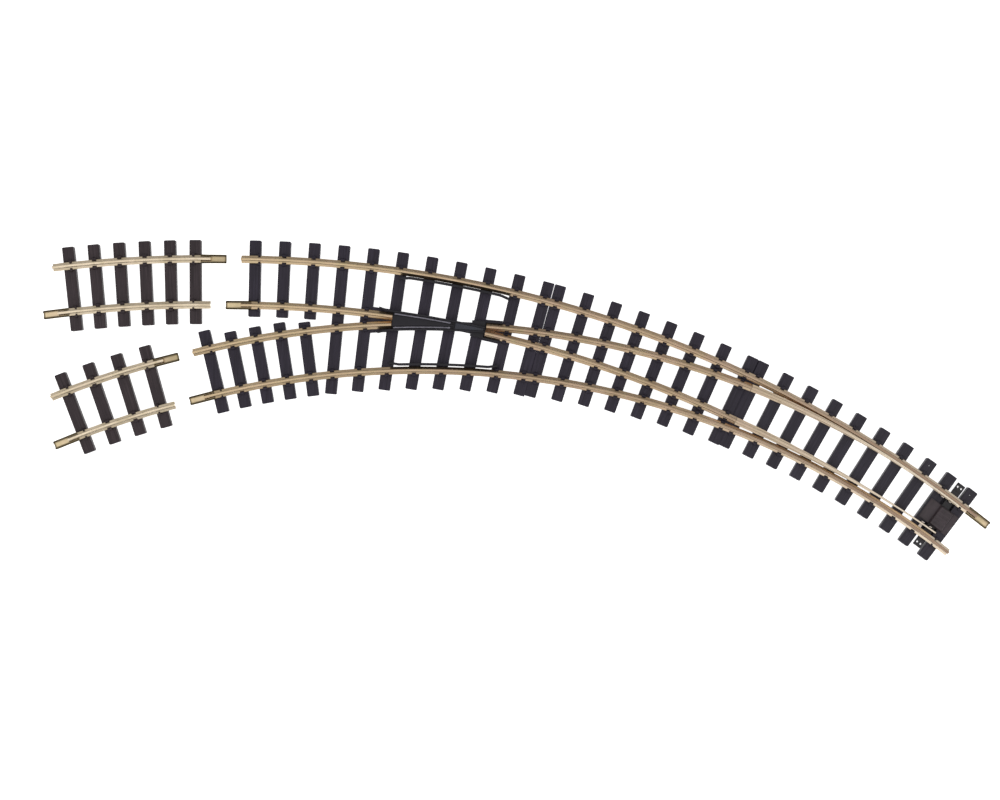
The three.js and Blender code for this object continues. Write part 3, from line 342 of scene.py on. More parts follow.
def block(near, far, width, low, high, taper=0.0, shift=0.0):
    """A box from near to far outward, centred on its width, narrower at the top."""
    inset = taper / 2
    points = []
    for z, inward in ((low, 0.0), (high, inset)):
        half = width / 2 - inward
        for x, y in rectangle(near + inward, far - inward, -half, half):
            points.append((x, shift + y, z))
    faces = [(0, 3, 2, 1), (4, 5, 6, 7), (0, 1, 5, 4), (1, 2, 6, 5), (2, 3, 7, 6), (3, 0, 4, 7)]
    return points, faces


def rod(radius, low, high, sides=24):
    outline = [on_circle((0.0, 0.0), radius, 360 * side / sides) for side in range(sides)]
    return prism(outline, low, high)


def softened(shell, width, segments=2, keep_low=None):
    """Rounds the edges of a shell, apart from those lying at the level keep_low."""
    mesh = bmesh.new()
    made = [mesh.verts.new(point) for point in shell[0]]
    for face in shell[1]:
        mesh.faces.new([made[index] for index in face])
    bmesh.ops.recalc_face_normals(mesh, faces=mesh.faces)
    mesh.edges.ensure_lookup_table()
    chosen = []
    for edge in mesh.edges:
        at_low = keep_low is not None and all(abs(vert.co.z - keep_low) < 1e-4 for vert in edge.verts)
        if not at_low and edge.calc_face_angle(0) > math.radians(30):
            chosen.append(edge)
    bmesh.ops.bevel(
        mesh, geom=chosen, offset=width, offset_type="OFFSET",
        segments=segments, profile=0.5, affect="EDGES", clamp_overlap=True,
    )
    mesh.verts.index_update()
    points = [tuple(vert.co) for vert in mesh.verts]
    faces = [tuple(vert.index for vert in face.verts) for face in mesh.faces]
    mesh.free()
    return points, faces


def rectangle(near, far, low, high, chamfer=0.0):
    """An outline whose two upper corners may be chamfered."""
    if not chamfer:
        return [(near, low), (far, low), (far, high), (near, high)]
    part = 0.3 * chamfer
    return [
        (near, low), (far, low), (far, high - chamfer), (far - part, high - part), (far - chamfer, high),
        (near + chamfer, high), (near + part, high - part), (near, high - chamfer),
    ]


# -------------------- objects


def linked(name, data):
    made = bpy.data.objects.new(name, data)
    bpy.context.scene.collection.objects.link(made)
    return made


def solid(name, shells, material_index=0):
    """One object from shells that don't touch each other."""
    points, faces = [], []
    for shell_points, shell_faces in shells:
        first = len(points)
        points += [(x * MM, y * MM, z * MM) for x, y, z in shell_points]
        faces += [tuple(index + first for index in face) for face in shell_faces]
    mesh = bpy.data.meshes.new(name)
    mesh.from_pydata(points, [], faces)
    worked = bmesh.new()
    worked.from_mesh(mesh)
    bmesh.ops.recalc_face_normals(worked, faces=worked.faces)
    for face in worked.faces:
        face.material_index = material_index
    worked.to_mesh(mesh)
    worked.free()
    return linked(name, mesh)


def combine(target, tool, operation):
    """Joins to, cuts from or keeps of the target what the tool covers."""
    modifier = target.modifiers.new("combine", "BOOLEAN")
    modifier.operation = operation
    modifier.object = tool
    modifier.solver = "MANIFOLD"
    bpy.context.view_layer.update()
    shaped = target.evaluated_get(bpy.context.evaluated_depsgraph_get())
    mesh = bpy.data.meshes.new_from_object(shaped)
    target.modifiers.clear()
    target.data = mesh
    bpy.data.objects.remove(tool)
    return target


def union(target, shells, material_index=0):
    return combine(target, solid("added", shells, material_index), "UNION")


def cut(target, shells):
    return combine(target, solid("cutter", shells), "DIFFERENCE")


def keep(target, shells):
    return combine(target, solid("kept", shells), "INTERSECT")


BODY_OF = {}
for body_name, members in frame["record"]["behaviour"]["bodies"].items():
    for member in members:
        BODY_OF[member] = body_name


def stand_for(node, made, *materials, sharp=32):
    """Lets an object take the place of a CAD node, with its finish."""
    made.name = node + "_fine"
    made.data.name = made.name
    made.data.materials.clear()
    for material in materials:
        made.data.materials.append(material)
    for polygon in made.data.polygons:
        polygon.use_smooth = True
    made.data.set_sharp_from_angle(angle=math.radians(sharp))
    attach(made, BODY_OF[node])
    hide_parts(node)
    return made


# -------------------- materials


class Nodes:
    """A node tree whose nodes are added by short calls."""

    def __init__(self, tree):
        self.tree = tree

    def put(self, socket, value):
        if isinstance(value, bpy.types.NodeSocket):
            self.tree.links.new(value, socket)
        else:
            socket.default_value = (*value, 1) if socket.type == "RGBA" else value

    def add(self, kind, inputs, **settings):
        """Makes a node, feeds its inputs and returns its outputs."""
        made = self.tree.nodes.new("ShaderNode" + kind)
        for key, value in settings.items():
            setattr(made, key, value)
        for key, value in inputs.items():
            self.put(made.inputs[key], value)
        return made.outputs

    def maths(self, operation, *values):
        return self.add("Math", dict(enumerate(values)), operation=operation)[0]


class Finish(Nodes):
    """A material's nodes."""

    def __init__(self, name):
        self.material = bpy.data.materials.new(name)
        self.material.use_nodes = True
        super().__init__(self.material.node_tree)
        self.shader = self.tree.nodes["Principled BSDF"]
        self.position = self.add("TexCoord", {})["Object"]

    def noise(self, vector, scale=1.0, detail=4.0, rough=0.55, warp=0.0):
        inputs = {"Vector": vector, "Scale": scale, "Detail": detail, "Roughness": rough}
        return self.add("TexNoise", {**inputs, "Distortion": warp})["Fac"]

    def ramp(self, value, low, high, to_low=0.0, to_high=1.0):
        inputs = {"Value": value, "From Min": low, "From Max": high, "To Min": to_low, "To Max": to_high}
        return self.add("MapRange", inputs)["Result"]

    def mix(self, share, first, second):
        return self.add("Mix", {0: share, 6: first, 7: second}, data_type="RGBA")[2]

    def laid(self, tone, value, low, high, share, colour):
        """A tone with up to a share of a colour on it, as a value goes from low to high."""
        return self.mix(self.ramp(value, low, high, 0.0, share), tone, colour)

    def scaled(self, vector, scale):
        return self.add("Mapping", {"Vector": vector, "Scale": scale})["Vector"]

    def polar(self, centre):
        """(metres outward, angle in radians, height) about a route's centre."""
        x, y, z = self.add("SeparateXYZ", {0: self.position})
        x = self.maths("SUBTRACT", x, centre[0] * MM)
        y = self.maths("SUBTRACT", y, centre[1] * MM)
        squares = self.maths("ADD", self.maths("MULTIPLY", x, x), self.maths("MULTIPLY", y, y))
        reach = self.maths("SQRT", squares)
        return self.add("CombineXYZ", {0: reach, 1: self.maths("ARCTAN2", y, x), 2: z})[0]

    def from_toe(self):
        """Metres from the toe, seen from above."""
        level = self.scaled(self.position, (1, 1, 0))
        toe = (TOE[0] * MM, TOE[1] * MM, 0)
        return self.add("VectorMath", {0: level, 1: toe}, operation="DISTANCE")["Value"]

    def relief(self, *layers):
        """Bumps of (height, depth in mm, strength), each laid over the one before."""
        inputs = {}
        for height, depth, strength in layers:
            inputs.update({"Height": height, "Distance": depth * MM, "Strength": strength})
            inputs["Normal"] = self.add("Bump", inputs)["Normal"]
        return inputs["Normal"]

    def surface(self, **values):
        names = {"color": "Base Color", "rough": "Roughness", "metal": "Metallic", "normal": "Normal",
                 "gloss": "Specular IOR Level", "emission": "Emission Color", "glow": "Emission Strength"}
        for key, value in values.items():
            self.put(self.shader.inputs[names[key]], value)
        return self.material


def sleeper_plastic(name, centre, dark, light):
    """Moulded wood grain that runs along each sleeper, out from the centre."""
    finish = Finish(name)
    polar = finish.polar(centre)
    radius = math.hypot(TOE[0] - centre[0], TOE[1] - centre[1]) * MM
    grain = finish.noise(finish.scaled(polar, (30, 1500 * radius, 400)), detail=5, rough=0.6, warp=0.4)
    cracks = finish.noise(finish.scaled(polar, (12, 420 * radius, 150)), detail=2, rough=0.4, warp=0.8)
    patches = finish.noise(finish.position, 28, detail=3)
    grit = finish.noise(finish.position, 2600, detail=2)
    fine = finish.ramp(grain, 0.3, 0.72)
    groove = finish.ramp(cracks, 0.42, 0.5)
    patchy = finish.maths("MULTIPLY", fine, finish.ramp(patches, 0.3, 0.7, 0.55, 1.0))
    tone = finish.mix(patchy, dark, light)
    tone = finish.laid(tone, finish.from_toe(), 0.36, 0.04, 0.3, SLEEPER_GREY)
    relief = finish.relief((groove, 0.16, 0.55), (fine, 0.10, 0.6), (grit, 0.03, 0.35))
    rough = finish.ramp(grain, 0.3, 0.7, 0.62, 0.48)
    return finish.surface(color=tone, rough=rough, normal=relief, gloss=0.32)


def plain_plastic(name, dark, light, rough=0.5, gloss=0.45):
    """Smooth moulded plastic with faint flow marks and fine texture."""
    finish = Finish(name)
    flow = finish.noise(finish.position, 60, detail=3, warp=0.6)
    grit = finish.noise(finish.position, 2200, detail=2)
    return finish.surface(
        color=finish.mix(finish.ramp(flow, 0.3, 0.7), dark, light),
        rough=finish.ramp(flow, 0.3, 0.7, rough - 0.08, rough + 0.08),
        normal=finish.relief((grit, 0.02, 0.3)), gloss=gloss,
    )


def drawn_brass(name, centre, clean, tarnished, blush, painted_toe_highlight=0.0, head_darkening=0.0, joiner_at=None):
    """Drawn brass: streaks along the rail, patches of tarnish and a pinkish blush.

    Painted toe highlight brightens it near the toe and leaves it golden at the far ends. Head
    darkening, used with the toe highlight, browns the running surface near the toe. Given a joiner's
    (radius, end angle, direction), painted shade darkens its sides and its mouth.
    """
    rough = 0.22
    finish = Finish(name)
    polar = finish.polar(centre)
    level = finish.scaled(finish.position, (1, 1, 0))
    streaks = finish.noise(finish.scaled(polar, (5200, 60, 3600)), detail=3, rough=0.5)
    tarnish = finish.noise(finish.scaled(finish.position, (1, 1, 2.5)), 34, detail=5, rough=0.6, warp=0.5)
    warm = finish.noise(finish.position, 40, detail=4, rough=0.65)
    spots = finish.noise(finish.position, 900, detail=3, rough=0.7)
    cool = finish.noise(level, 110, detail=4, rough=0.65)
    tone = finish.laid(clean, tarnish, 0.35, 0.72, 0.8, tarnished)
    tone = finish.laid(tone, streaks, 0.42, 0.62, 0.3, tarnished)
    tone = finish.laid(tone, warm, 0.42, 0.68, 0.6, blush)
    tone = finish.laid(tone, cool, 0.5, 0.66, 0.45, OLIVE_BRASS)
    tone = finish.laid(tone, spots, 0.62, 0.74, 0.35, tarnished)
    # painted highlight: paler, brighter brass near the toe, where the light falls strongest on the rails;
    # golden brass further away
    if painted_toe_highlight:
        from_toe = finish.from_toe()
        tone = finish.laid(tone, from_toe, 0.34, 0.02, painted_toe_highlight, TOE_HIGHLIGHT_BRASS)
        tone = finish.laid(tone, from_toe, 0.52, 0.76, 0.42, GOLDEN_BRASS)
    # browns the top of the rail head near the toe
    if head_darkening:
        height = finish.add("SeparateXYZ", {0: finish.position})[2]
        on_head = finish.ramp(height, (RAIL_TOP - 1.1) * MM, (RAIL_TOP - 0.3) * MM)
        near_toe = finish.ramp(from_toe, 0.38, 0.12, 0.0, head_darkening)
        tone = finish.mix(finish.maths("MULTIPLY", on_head, near_toe), tone, DARKENED_HEAD_TONE)
    # painted shade: the joiner's folded sides and its open mouth are darkened
    if joiner_at:
        radius, end_angle, direction = joiner_at
        reach, turn, _ = finish.add("SeparateXYZ", {0: polar})
        off = finish.maths("ABSOLUTE", finish.maths("SUBTRACT", reach, radius * MM))
        past = finish.maths("SUBTRACT", turn, math.radians(end_angle))
        past = finish.maths("MULTIPLY", past, direction * radius * MM)
        tone = finish.laid(tone, off, 1.5 * MM, 3.9 * MM, 0.95, JOINER_PAINTED_SHADE)
        tone = finish.laid(tone, past, 13.6 * MM, 15.2 * MM, 0.9, JOINER_PAINTED_SHADE)
    relief = finish.relief((streaks, 0.02, 0.35), (spots, 0.01, 0.3))
    worn = finish.ramp(tarnish, 0.3, 0.7, rough - 0.04, rough + 0.12)
    return finish.surface(color=tone, rough=worn, metal=1.0, normal=relief)


def plated_steel(name, tone, rough=0.3):
    finish = Finish(name)
    brushed = finish.noise(finish.scaled(finish.position, (900, 3000, 2000)), detail=3)
    stain = finish.noise(finish.position, 150, detail=4)
    dull = tuple(0.72 * part for part in tone)
    return finish.surface(
        color=finish.mix(finish.ramp(stain, 0.4, 0.7), tone, dull),
        rough=finish.ramp(stain, 0.3, 0.7, rough, rough + 0.15),
        metal=1.0, normal=finish.relief((brushed, 0.01, 0.4)),
    )


SLEEPER_GREY = (0.048, 0.047, 0.051)
SLEEPER_TONES = (0.0143, 0.0107, 0.0190), (0.0405, 0.0320, 0.0560)
ADAPTER_TONES = (0.021, 0.014, 0.0165), (0.066, 0.045, 0.052)

outer_sleepers = sleeper_plastic("sleeper plastic, outer route", OUTER_CENTRE, *SLEEPER_TONES)
inner_sleepers = sleeper_plastic("sleeper plastic, inner leg", INNER_CENTRE, *SLEEPER_TONES)
# painted light: the chairs are coloured lighter and redder than the sleeper plastic they are moulded with,
# standing in for the light on their lit sides
chair_plastic = plain_plastic("chair plastic", (0.066, 0.028, 0.019), (0.185, 0.083, 0.055), 0.6, 0.25)
frog_plastic = plain_plastic("frog plastic", (0.010, 0.009, 0.012), (0.022, 0.020, 0.027), 0.55, 0.3)
throat_plastic = plain_plastic("throat plastic", (0.008, 0.010, 0.022), (0.016, 0.019, 0.040), 0.28, 0.6)
bar_plastic = plain_plastic("throw bar plastic", (0.010, 0.009, 0.011), (0.024, 0.021, 0.026), 0.45)
cover_plastic = plain_plastic("cover plastic", (0.026, 0.018, 0.020), (0.066, 0.048, 0.055), 0.5)
steel = plated_steel("plated steel", (0.62, 0.60, 0.57))
bracket_steel = plated_steel("blade brackets", (0.78, 0.69, 0.62), 0.3)
strip_steel = plated_steel("flangeway strip", (0.24, 0.23, 0.27), 0.35)

# Brass tones are (clean, tarnished, blush).
ROUTE_BRASS = (0.62, 0.46, 0.30), (0.38, 0.27, 0.165), (0.60, 0.415, 0.315)
ADAPTER_BRASS = (0.87, 0.74, 0.56), (0.58, 0.47, 0.31), (0.81, 0.66, 0.50)
JOINER_BRASS = (0.68, 0.55, 0.35), (0.47, 0.38, 0.22), (0.65, 0.50, 0.36)
OLIVE_BRASS = (0.50, 0.42, 0.24)
# painted shade for the joiners' folds and mouths
JOINER_PAINTED_SHADE = (0.075, 0.055, 0.022)
# painted highlight for the rails near the toe
TOE_HIGHLIGHT_BRASS = (0.88, 0.77, 0.62)
GOLDEN_BRASS = (0.78, 0.61, 0.36)
DARKENED_HEAD_TONE = (0.31, 0.195, 0.13)

outer_brass, inner_brass = [
    drawn_brass("rail brass, " + name, centre, *ROUTE_BRASS, painted_toe_highlight=0.65, head_darkening=0.82)
    for name, centre in (("outer route", OUTER_CENTRE), ("inner route", INNER_CENTRE))
]
blade_brass = drawn_brass("blade brass", OUTER_CENTRE, *ROUTE_BRASS, painted_toe_highlight=0.9)

# -------------------- rails


def both_sides(half):
    return half + [(-out, height) for out, height in reversed(half)]


def lifted(outline):
    return [(out, height + SEAT) for out, height in outline]


HEAD = [
    (0.8, 4.9), (0.9, 5.45), (1.25, 5.85), (1.46, 6.1), (1.5, 6.4), (1.5, 7.75), (1.43, 7.98), (1.22, 8.16),
    (0.85, 8.28), (0.45, 8.37), (0.12, 8.4),
]
RAIL_OUTLINE = lifted(both_sides([
    (3.8, 0), (3.95, 0.06), (4.0, 0.2), (4.0, 0.78), (3.93, 0.94), (3.75, 1.05), (1.9, 1.58), (1.3, 1.95),
    (0.95, 2.5), (0.8, 3.2), *HEAD,
]))
BLADE_OUTLINE = lifted(both_sides([
    (3.8, 0), (4.0, 0.2), (4.0, 2.6), (3.85, 2.95), (3.5, 3.1), (1.1, 3.2), (0.85, 3.45), (0.8, 3.8), *HEAD,
]))


def rail(line, start, end):
    """A rail between two angles about its own centre."""
    return solid("rail", [sweep(line.centre, line.radius, start, end, RAIL_OUTLINE)])


def foot_trim(side):
    """What lies past the line midway between the two closure rails."""
    def midway(angle):
        return (OUTER_NEAR.radius + crossing(angle, INNER_NEAR.radius)[0]) / 2
    reach = 2 * FOOT_HALF
    near, far = (-GAP / 2, reach) if side > 0 else (-reach, GAP / 2)
    band = rectangle(near, far, SEAT - 1, RAIL_TOP + 1)
    return sweep(OUTER_CENTRE, midway, along(THROAT - 2), along(THROAT + 28), band, 0.3)


def make_rails():
    stand_for("stock_rail_outer", rail(OUTER_STOCK, TOE_ANGLE, OUTER_END_ANGLE), outer_brass)
    stand_for("stock_rail_inner", rail(INNER_STOCK, TOE_ANGLE, INNER_END_ANGLE), inner_brass)
    for name, line, side, brass in (
        ("outer", INNER_NEAR, -1, inner_brass),
        ("inner", OUTER_NEAR, 1, outer_brass),
    ):
        closure = rail(line, line.angle(HEEL - GAP), line.angle(THROAT))
        stand_for("closure_rail_" + name, cut(closure, [foot_trim(side)]), brass)
    stand_for("leg_rail_outer", rail(OUTER_NEAR, along(VEE_BACK), OUTER_END_ANGLE), outer_brass)
    stand_for("leg_rail_inner", rail(INNER_NEAR, INNER_NEAR.angle(VEE_BACK), INNER_END_ANGLE), inner_brass)


def joiner(line, end_angle, direction):
    """A folded channel whose lips are cut back aslant at both mouths."""
    outer = [
        (3.4, -0.8), (4.0, -0.7), (4.4, -0.35), (4.57, 0.15), (4.6, 0.75), (4.48, 1.3), (4.1, 1.8),
        (3.55, 2.2), (3.1, 2.55), (2.7, 2.8), (2.5, 2.85), (2.35, 2.75),
    ]
    inner = [
        (2.4, 2.5), (2.65, 2.3), (3.0, 2.0), (3.45, 1.7), (3.9, 1.4), (4.16, 1.05), (4.22, 0.7),
        (4.2, 0.3), (4.08, -0.02), (3.85, -0.22), (3.4, -GAP),
    ]
    outline = lifted(both_sides(outer + inner))
    half = JOINER_LENGTH / 2
    # the floor dips towards the joiner's free end
    rings = ((-half, 0.0), (half - 1.3, 0.0), (half - 0.5, 0.1), (half, 0.3))
    points = []
    for place, dip in rings:
        for out, height in outline:
            points.append((out, direction * place, height - dip if height < SEAT else height))

    def set_down(shell):
        return placed(shell, line.centre, end_angle, line.radius, direction * (JOINER_REACH - half))

    made = solid("joiner", [set_down((points, tube_faces(len(rings), len(outline))))])
    slants, nips = [], []
    for side in (-1, 1):
        for end in (-1, 1):
            mouth = end * (half + 1)
            triangle = [(side * 6, mouth), (side * 6, mouth - end * JOINER_SLANT), (side * 1.5, mouth)]
            slants.append(set_down(prism(triangle, SEAT + 0.9, SEAT + 4)))
        # the folded sheet's own corners are rounded off at the free end
        corner = [(4.1, 1), (4.1, -0.15), (4.35, -0.45), (4.7, -1.2), (6, -1.2), (6, 1)]
        nip = [(side * out, direction * (half + past)) for out, past in corner]
        nips.append(set_down(prism(nip, SEAT - 3, SEAT + 4)))
    return cut(cut(made, slants), nips)


def fit_joiner(node, line, end_angle, direction):
    place = line.radius, end_angle, direction
    brass = drawn_brass("brass of " + node, line.centre, *JOINER_BRASS, joiner_at=place)
    stand_for(node, joiner(line, end_angle, direction), brass)


def make_joiners():
    fit_joiner("joiner_outer_leg", OUTER_NEAR, OUTER_END_ANGLE, 1)
    fit_joiner("joiner_inner_leg", INNER_STOCK, INNER_END_ANGLE, 1)
    fit_joiner("joiner_toe", OUTER_STOCK, TOE_ANGLE, -1)


# -------------------- sleeper frames
# A sleeper is (centre, angle, near end, far end).


def sleeper_body(centre, angle, near, far):
    """A sleeper with rounded corners and softened upper edges."""
    inset = SLEEPER_CORNER
    half = SLEEPER_WIDTH / 2 - inset
    corners = (
        (far - inset, half, 0), (near + inset, half, 90),
        (near + inset, -half, 180), (far - inset, -half, 270),
    )
    outline = []
    for x, y, start in corners:
        outline += [on_circle((x, y), inset, start + 22.5 * step) for step in range(5)]
    return placed(softened(prism(outline, 0, SLEEPER_HEIGHT), 0.6, 3, keep_low=0), centre, angle)


def sleeper_pocket(centre, angle, near, far):
    width = SLEEPER_WIDTH - 2 * SLEEPER_WALL
    pocket = block(near + SLEEPER_WALL, far - SLEEPER_WALL, width, -1, SLEEPER_HEIGHT - SLEEPER_ROOF)
    return placed(pocket, centre, angle)


def tie(line, start, end):
    """A tie below a rail, between two angles about its own centre."""
    outline = rectangle(-TIE_WIDTH / 2, TIE_WIDTH / 2, TIE_LOW, TIE_HIGH, 0.5)
    return sweep(line.centre, line.radius, start, end, outline, 1.0)


def chairs(line, angle, room_in=OPEN_ROOM, room_out=OPEN_ROOM, length=CHAIR_LENGTH):
    """The clips beside a rail's foot, hooked over it, each as wide as its room."""
    edge = FOOT_HALF + GAP
    made = []
    for side, room in ((-1, room_in), (1, room_out)):
        width = min(CHAIR_WIDTH, room / 2 - edge - GAP / 2)
        if width < CHAIR_LEAST:
            continue
        back = edge + width
        outline = lifted([
            (edge, -1.3), (back, -1.3), (back, 1.2), (back - 0.3 * width, 2.1), (edge - 0.1, 2.5),
            (3.1, 2.3), (2.8, 2.05), (2.8, 1.6), (edge - 0.45, 1.3), (edge, 1.05),
        ])
        shell = softened(profile_bar([(side * out, height) for out, height in outline], length), 0.16, 1)
        made.append(placed(shell, line.centre, angle, line.radius))
    return made


def stock_chairs(distance, between):
    """The chairs of both stock rails, given their room between the rails."""
    made = chairs(INNER_STOCK, INNER_STOCK.angle(distance), room_out=between)
    return made + chairs(OUTER_STOCK, along(distance), room_in=between)


def chairs_across(distance):
    """The chairs of all four rails on a sleeper."""
    lines = (OUTER_STOCK, OUTER_NEAR, INNER_STOCK, INNER_NEAR)
    found = sorted((line.reach(distance), index) for index, line in enumerate(lines))
    reaches = [found[0][0] - OPEN_ROOM, *[reach for reach, _ in found], found[-1][0] + OPEN_ROOM]
    made = []
    for place, (reach, index) in enumerate(found):
        room_in, room_out = reach - reaches[place], reaches[place + 2] - reach
        made += chairs(lines[index], lines[index].angle(distance), room_in, room_out)
    return made


def sleeper_across(distance):
    near = crossing(along(distance), INNER_STOCK.radius - SLEEPER_OVERHANG)[0]
    return OUTER_CENTRE, along(distance), near, OUTER_STOCK.radius + SLEEPER_OVERHANG


def end_fittings(*ends):
    """The chairs and the joiner recesses at each (centre, radius, end angle, inward)."""
    grips, cuts = [], []
    half = JOINER_HALF + GAP
    recess = block(-half, half, RECESS_LENGTH, RECESS_FLOOR, SEAT + 4)
    for centre, radius, end_angle, inward in ends:
        chair_angle = end_angle + inward * math.degrees(END_CHAIR_AT / radius)
        for side in (-HALF_SPACING, HALF_SPACING):
            cuts.append(placed(recess, centre, end_angle, radius + side, inward * RECESS_LENGTH / 2))
            grips += chairs(Line(centre, radius + side), chair_angle, length=END_CHAIR_LENGTH)
    return grips, cuts


def past_joint(distance, side):
    width = 2 * SLEEPER_WIDTH
    near = INNER_STOCK.radius + OUTER_RADIUS - INNER_RADIUS - 3 * SLEEPER_OVERHANG
    far = OUTER_STOCK.radius + 2 * SLEEPER_OVERHANG
    return at(distance, block(near, far, width, -1, RAIL_TOP, shift=side * (width - JOINT_GAP) / 2))


def places(start, pitch, count):
    return [start + index * pitch for index in range(count)]


# Each feed strip is a (distance, line, line): it joins the rails on two lines.
FEEDS = {
    "feed_strip_leg_outer": (FIRST_SLEEPER + 4 * LEG_PITCH, INNER_NEAR, OUTER_STOCK),
    "feed_strip_leg_inner": (FIRST_SLEEPER + 3 * LEG_PITCH, INNER_STOCK, OUTER_NEAR),
    "feed_strip_middle_outer": (MIDDLE_START + 4 * MIDDLE_PITCH, INNER_NEAR, OUTER_STOCK),
    "feed_strip_middle_inner": (MIDDLE_START + 4 * MIDDLE_PITCH, INNER_STOCK, OUTER_NEAR),
}


def feed_slots(on_legs):
    half = FEED_SHEET / 2 + GAP
    slot = block(-half, half, FEED_WIDTH + 2 * GAP, FEED_LOW, SEAT)
    made = []
    for place, *lines in FEEDS.values():
        if (place < MIDDLE_START) == on_legs:
            made += [at(place, slot, line.reach(place)) for line in lines]
    return made


def make_feeds():
    half = FEED_SHEET / 2

    def sheet(place, near, far, high):
        return at(place, softened(block(near - half, far + half, FEED_WIDTH, FEED_LOW, high), 0.12, 1))

    for node, (place, *lines) in FEEDS.items():
        reaches = [line.reach(place) for line in lines]
        made = solid(node, [sheet(place, *reaches, FEED_LOW + FEED_SHEET)])
        feet = [sheet(place, reach, reach, SLEEPER_HEIGHT) for reach in reaches]
        stand_for(node, union(made, feet), steel)


def sleeper_frame(sleepers, ties, grips, cuts, own_direction=(), trays=()):
    """One moulding. Sleepers in own_direction carry the second material."""
    made = solid("frame", [sleeper_body(*item) for item in sleepers], 0)
    if own_direction:
        made = union(made, [sleeper_body(*item) for item in own_direction], 1)
    made = union(made, ties)
    made = cut(made, [sleeper_pocket(*item) for item in [*sleepers, *own_direction]])
    for tray in trays:
        made = union(made, tray)
    made = union(made, grips, 2)
    return cut(made, cuts)


def frog_trays():
    """The plates under both ends of the frog, level with the sleepers."""
    band = rectangle(-FROG_TRAY_HALF, FROG_TRAY_HALF, FROG_TRAY_LOW, SLEEPER_HEIGHT - 0.05)
    return [[line.band(start, end, band) for start, end in FROG_TRAYS] for line in (OUTER_NEAR, INNER_NEAR)]


def make_leg_frame():
    distances = places(FIRST_SLEEPER, LEG_PITCH, LEG_SLEEPERS)
    leg_only, across = distances[:OUTER_LEG_ONLY], distances[OUTER_LEG_ONLY:]
    last = distances[-1]
    span = OUTER_NEAR.radius - LEG_INNER_OVERHANG, OUTER_STOCK.radius + SLEEPER_OVERHANG
    sleepers = [(OUTER_CENTRE, along(distance), *span) for distance in leg_only]
    sleepers += [sleeper_across(distance) for distance in across]
    inner_leg = []
    for index, overhang in enumerate(INNER_LEG_OVERHANGS):
        angle = INNER_END_ANGLE - math.degrees((INNER_LEG_FIRST + index * INNER_LEG_PITCH) / INNER_RADIUS)
        span = INNER_STOCK.radius - SLEEPER_OVERHANG, INNER_NEAR.radius + overhang
        inner_leg.append((INNER_CENTRE, angle, *span))
    inner_angles = [angle for _, angle, _, _ in inner_leg]
    ties = [tie(line, along(last), along(FIRST_SLEEPER)) for line in (OUTER_STOCK, OUTER_NEAR)]
    ties.append(tie(INNER_STOCK, INNER_STOCK.angle(last), inner_angles[0]))
    grips, cuts = end_fittings(
        (OUTER_CENTRE, OUTER_RADIUS, OUTER_END_ANGLE, -1),
        (INNER_CENTRE, INNER_RADIUS, INNER_END_ANGLE, -1),
    )
    for distance in leg_only[1:]:
        grips += chairs(OUTER_STOCK, along(distance)) + chairs(OUTER_NEAR, along(distance))
    for distance in across:
        if WING_FLARE < distance < CHEEK_END:
            grips += stock_chairs(distance, 2 * (OUTER_CHECK_OFFSET - CHECK_THICK / 2 - GAP))
        else:
            grips += chairs_across(distance)
    for angle in inner_angles[1:]:
        grips += chairs(INNER_STOCK, angle) + chairs(INNER_NEAR, angle)
    cuts += [*feed_slots(True), past_joint(LEG_JOINT, -1)]
    made = sleeper_frame(sleepers, ties, grips, cuts, inner_leg, frog_trays())
    made = union(made, [tie(INNER_NEAR, INNER_NEAR.angle(VEE_BACK + LEG_PITCH), inner_angles[0])])
    stand_for("sleeper_frame_legs", made, outer_sleepers, inner_sleepers, chair_plastic)


def make_middle_frame():
    distances = places(MIDDLE_START, MIDDLE_PITCH, MIDDLE_SLEEPERS)
    ties, grips = [], []
    for line in (OUTER_STOCK, OUTER_NEAR, INNER_STOCK, INNER_NEAR):
        ties.append(tie(line, line.angle(distances[-1]), line.angle(distances[0])))
    for distance in distances:
        grips += chairs_across(distance)
    cuts = [*feed_slots(False), past_joint(LEG_JOINT, 1), past_joint(SWITCH_JOINT, -1)]
    made = sleeper_frame([sleeper_across(distance) for distance in distances], ties, grips, cuts)
    stand_for("sleeper_frame_middle", made, outer_sleepers, outer_sleepers, chair_plastic)


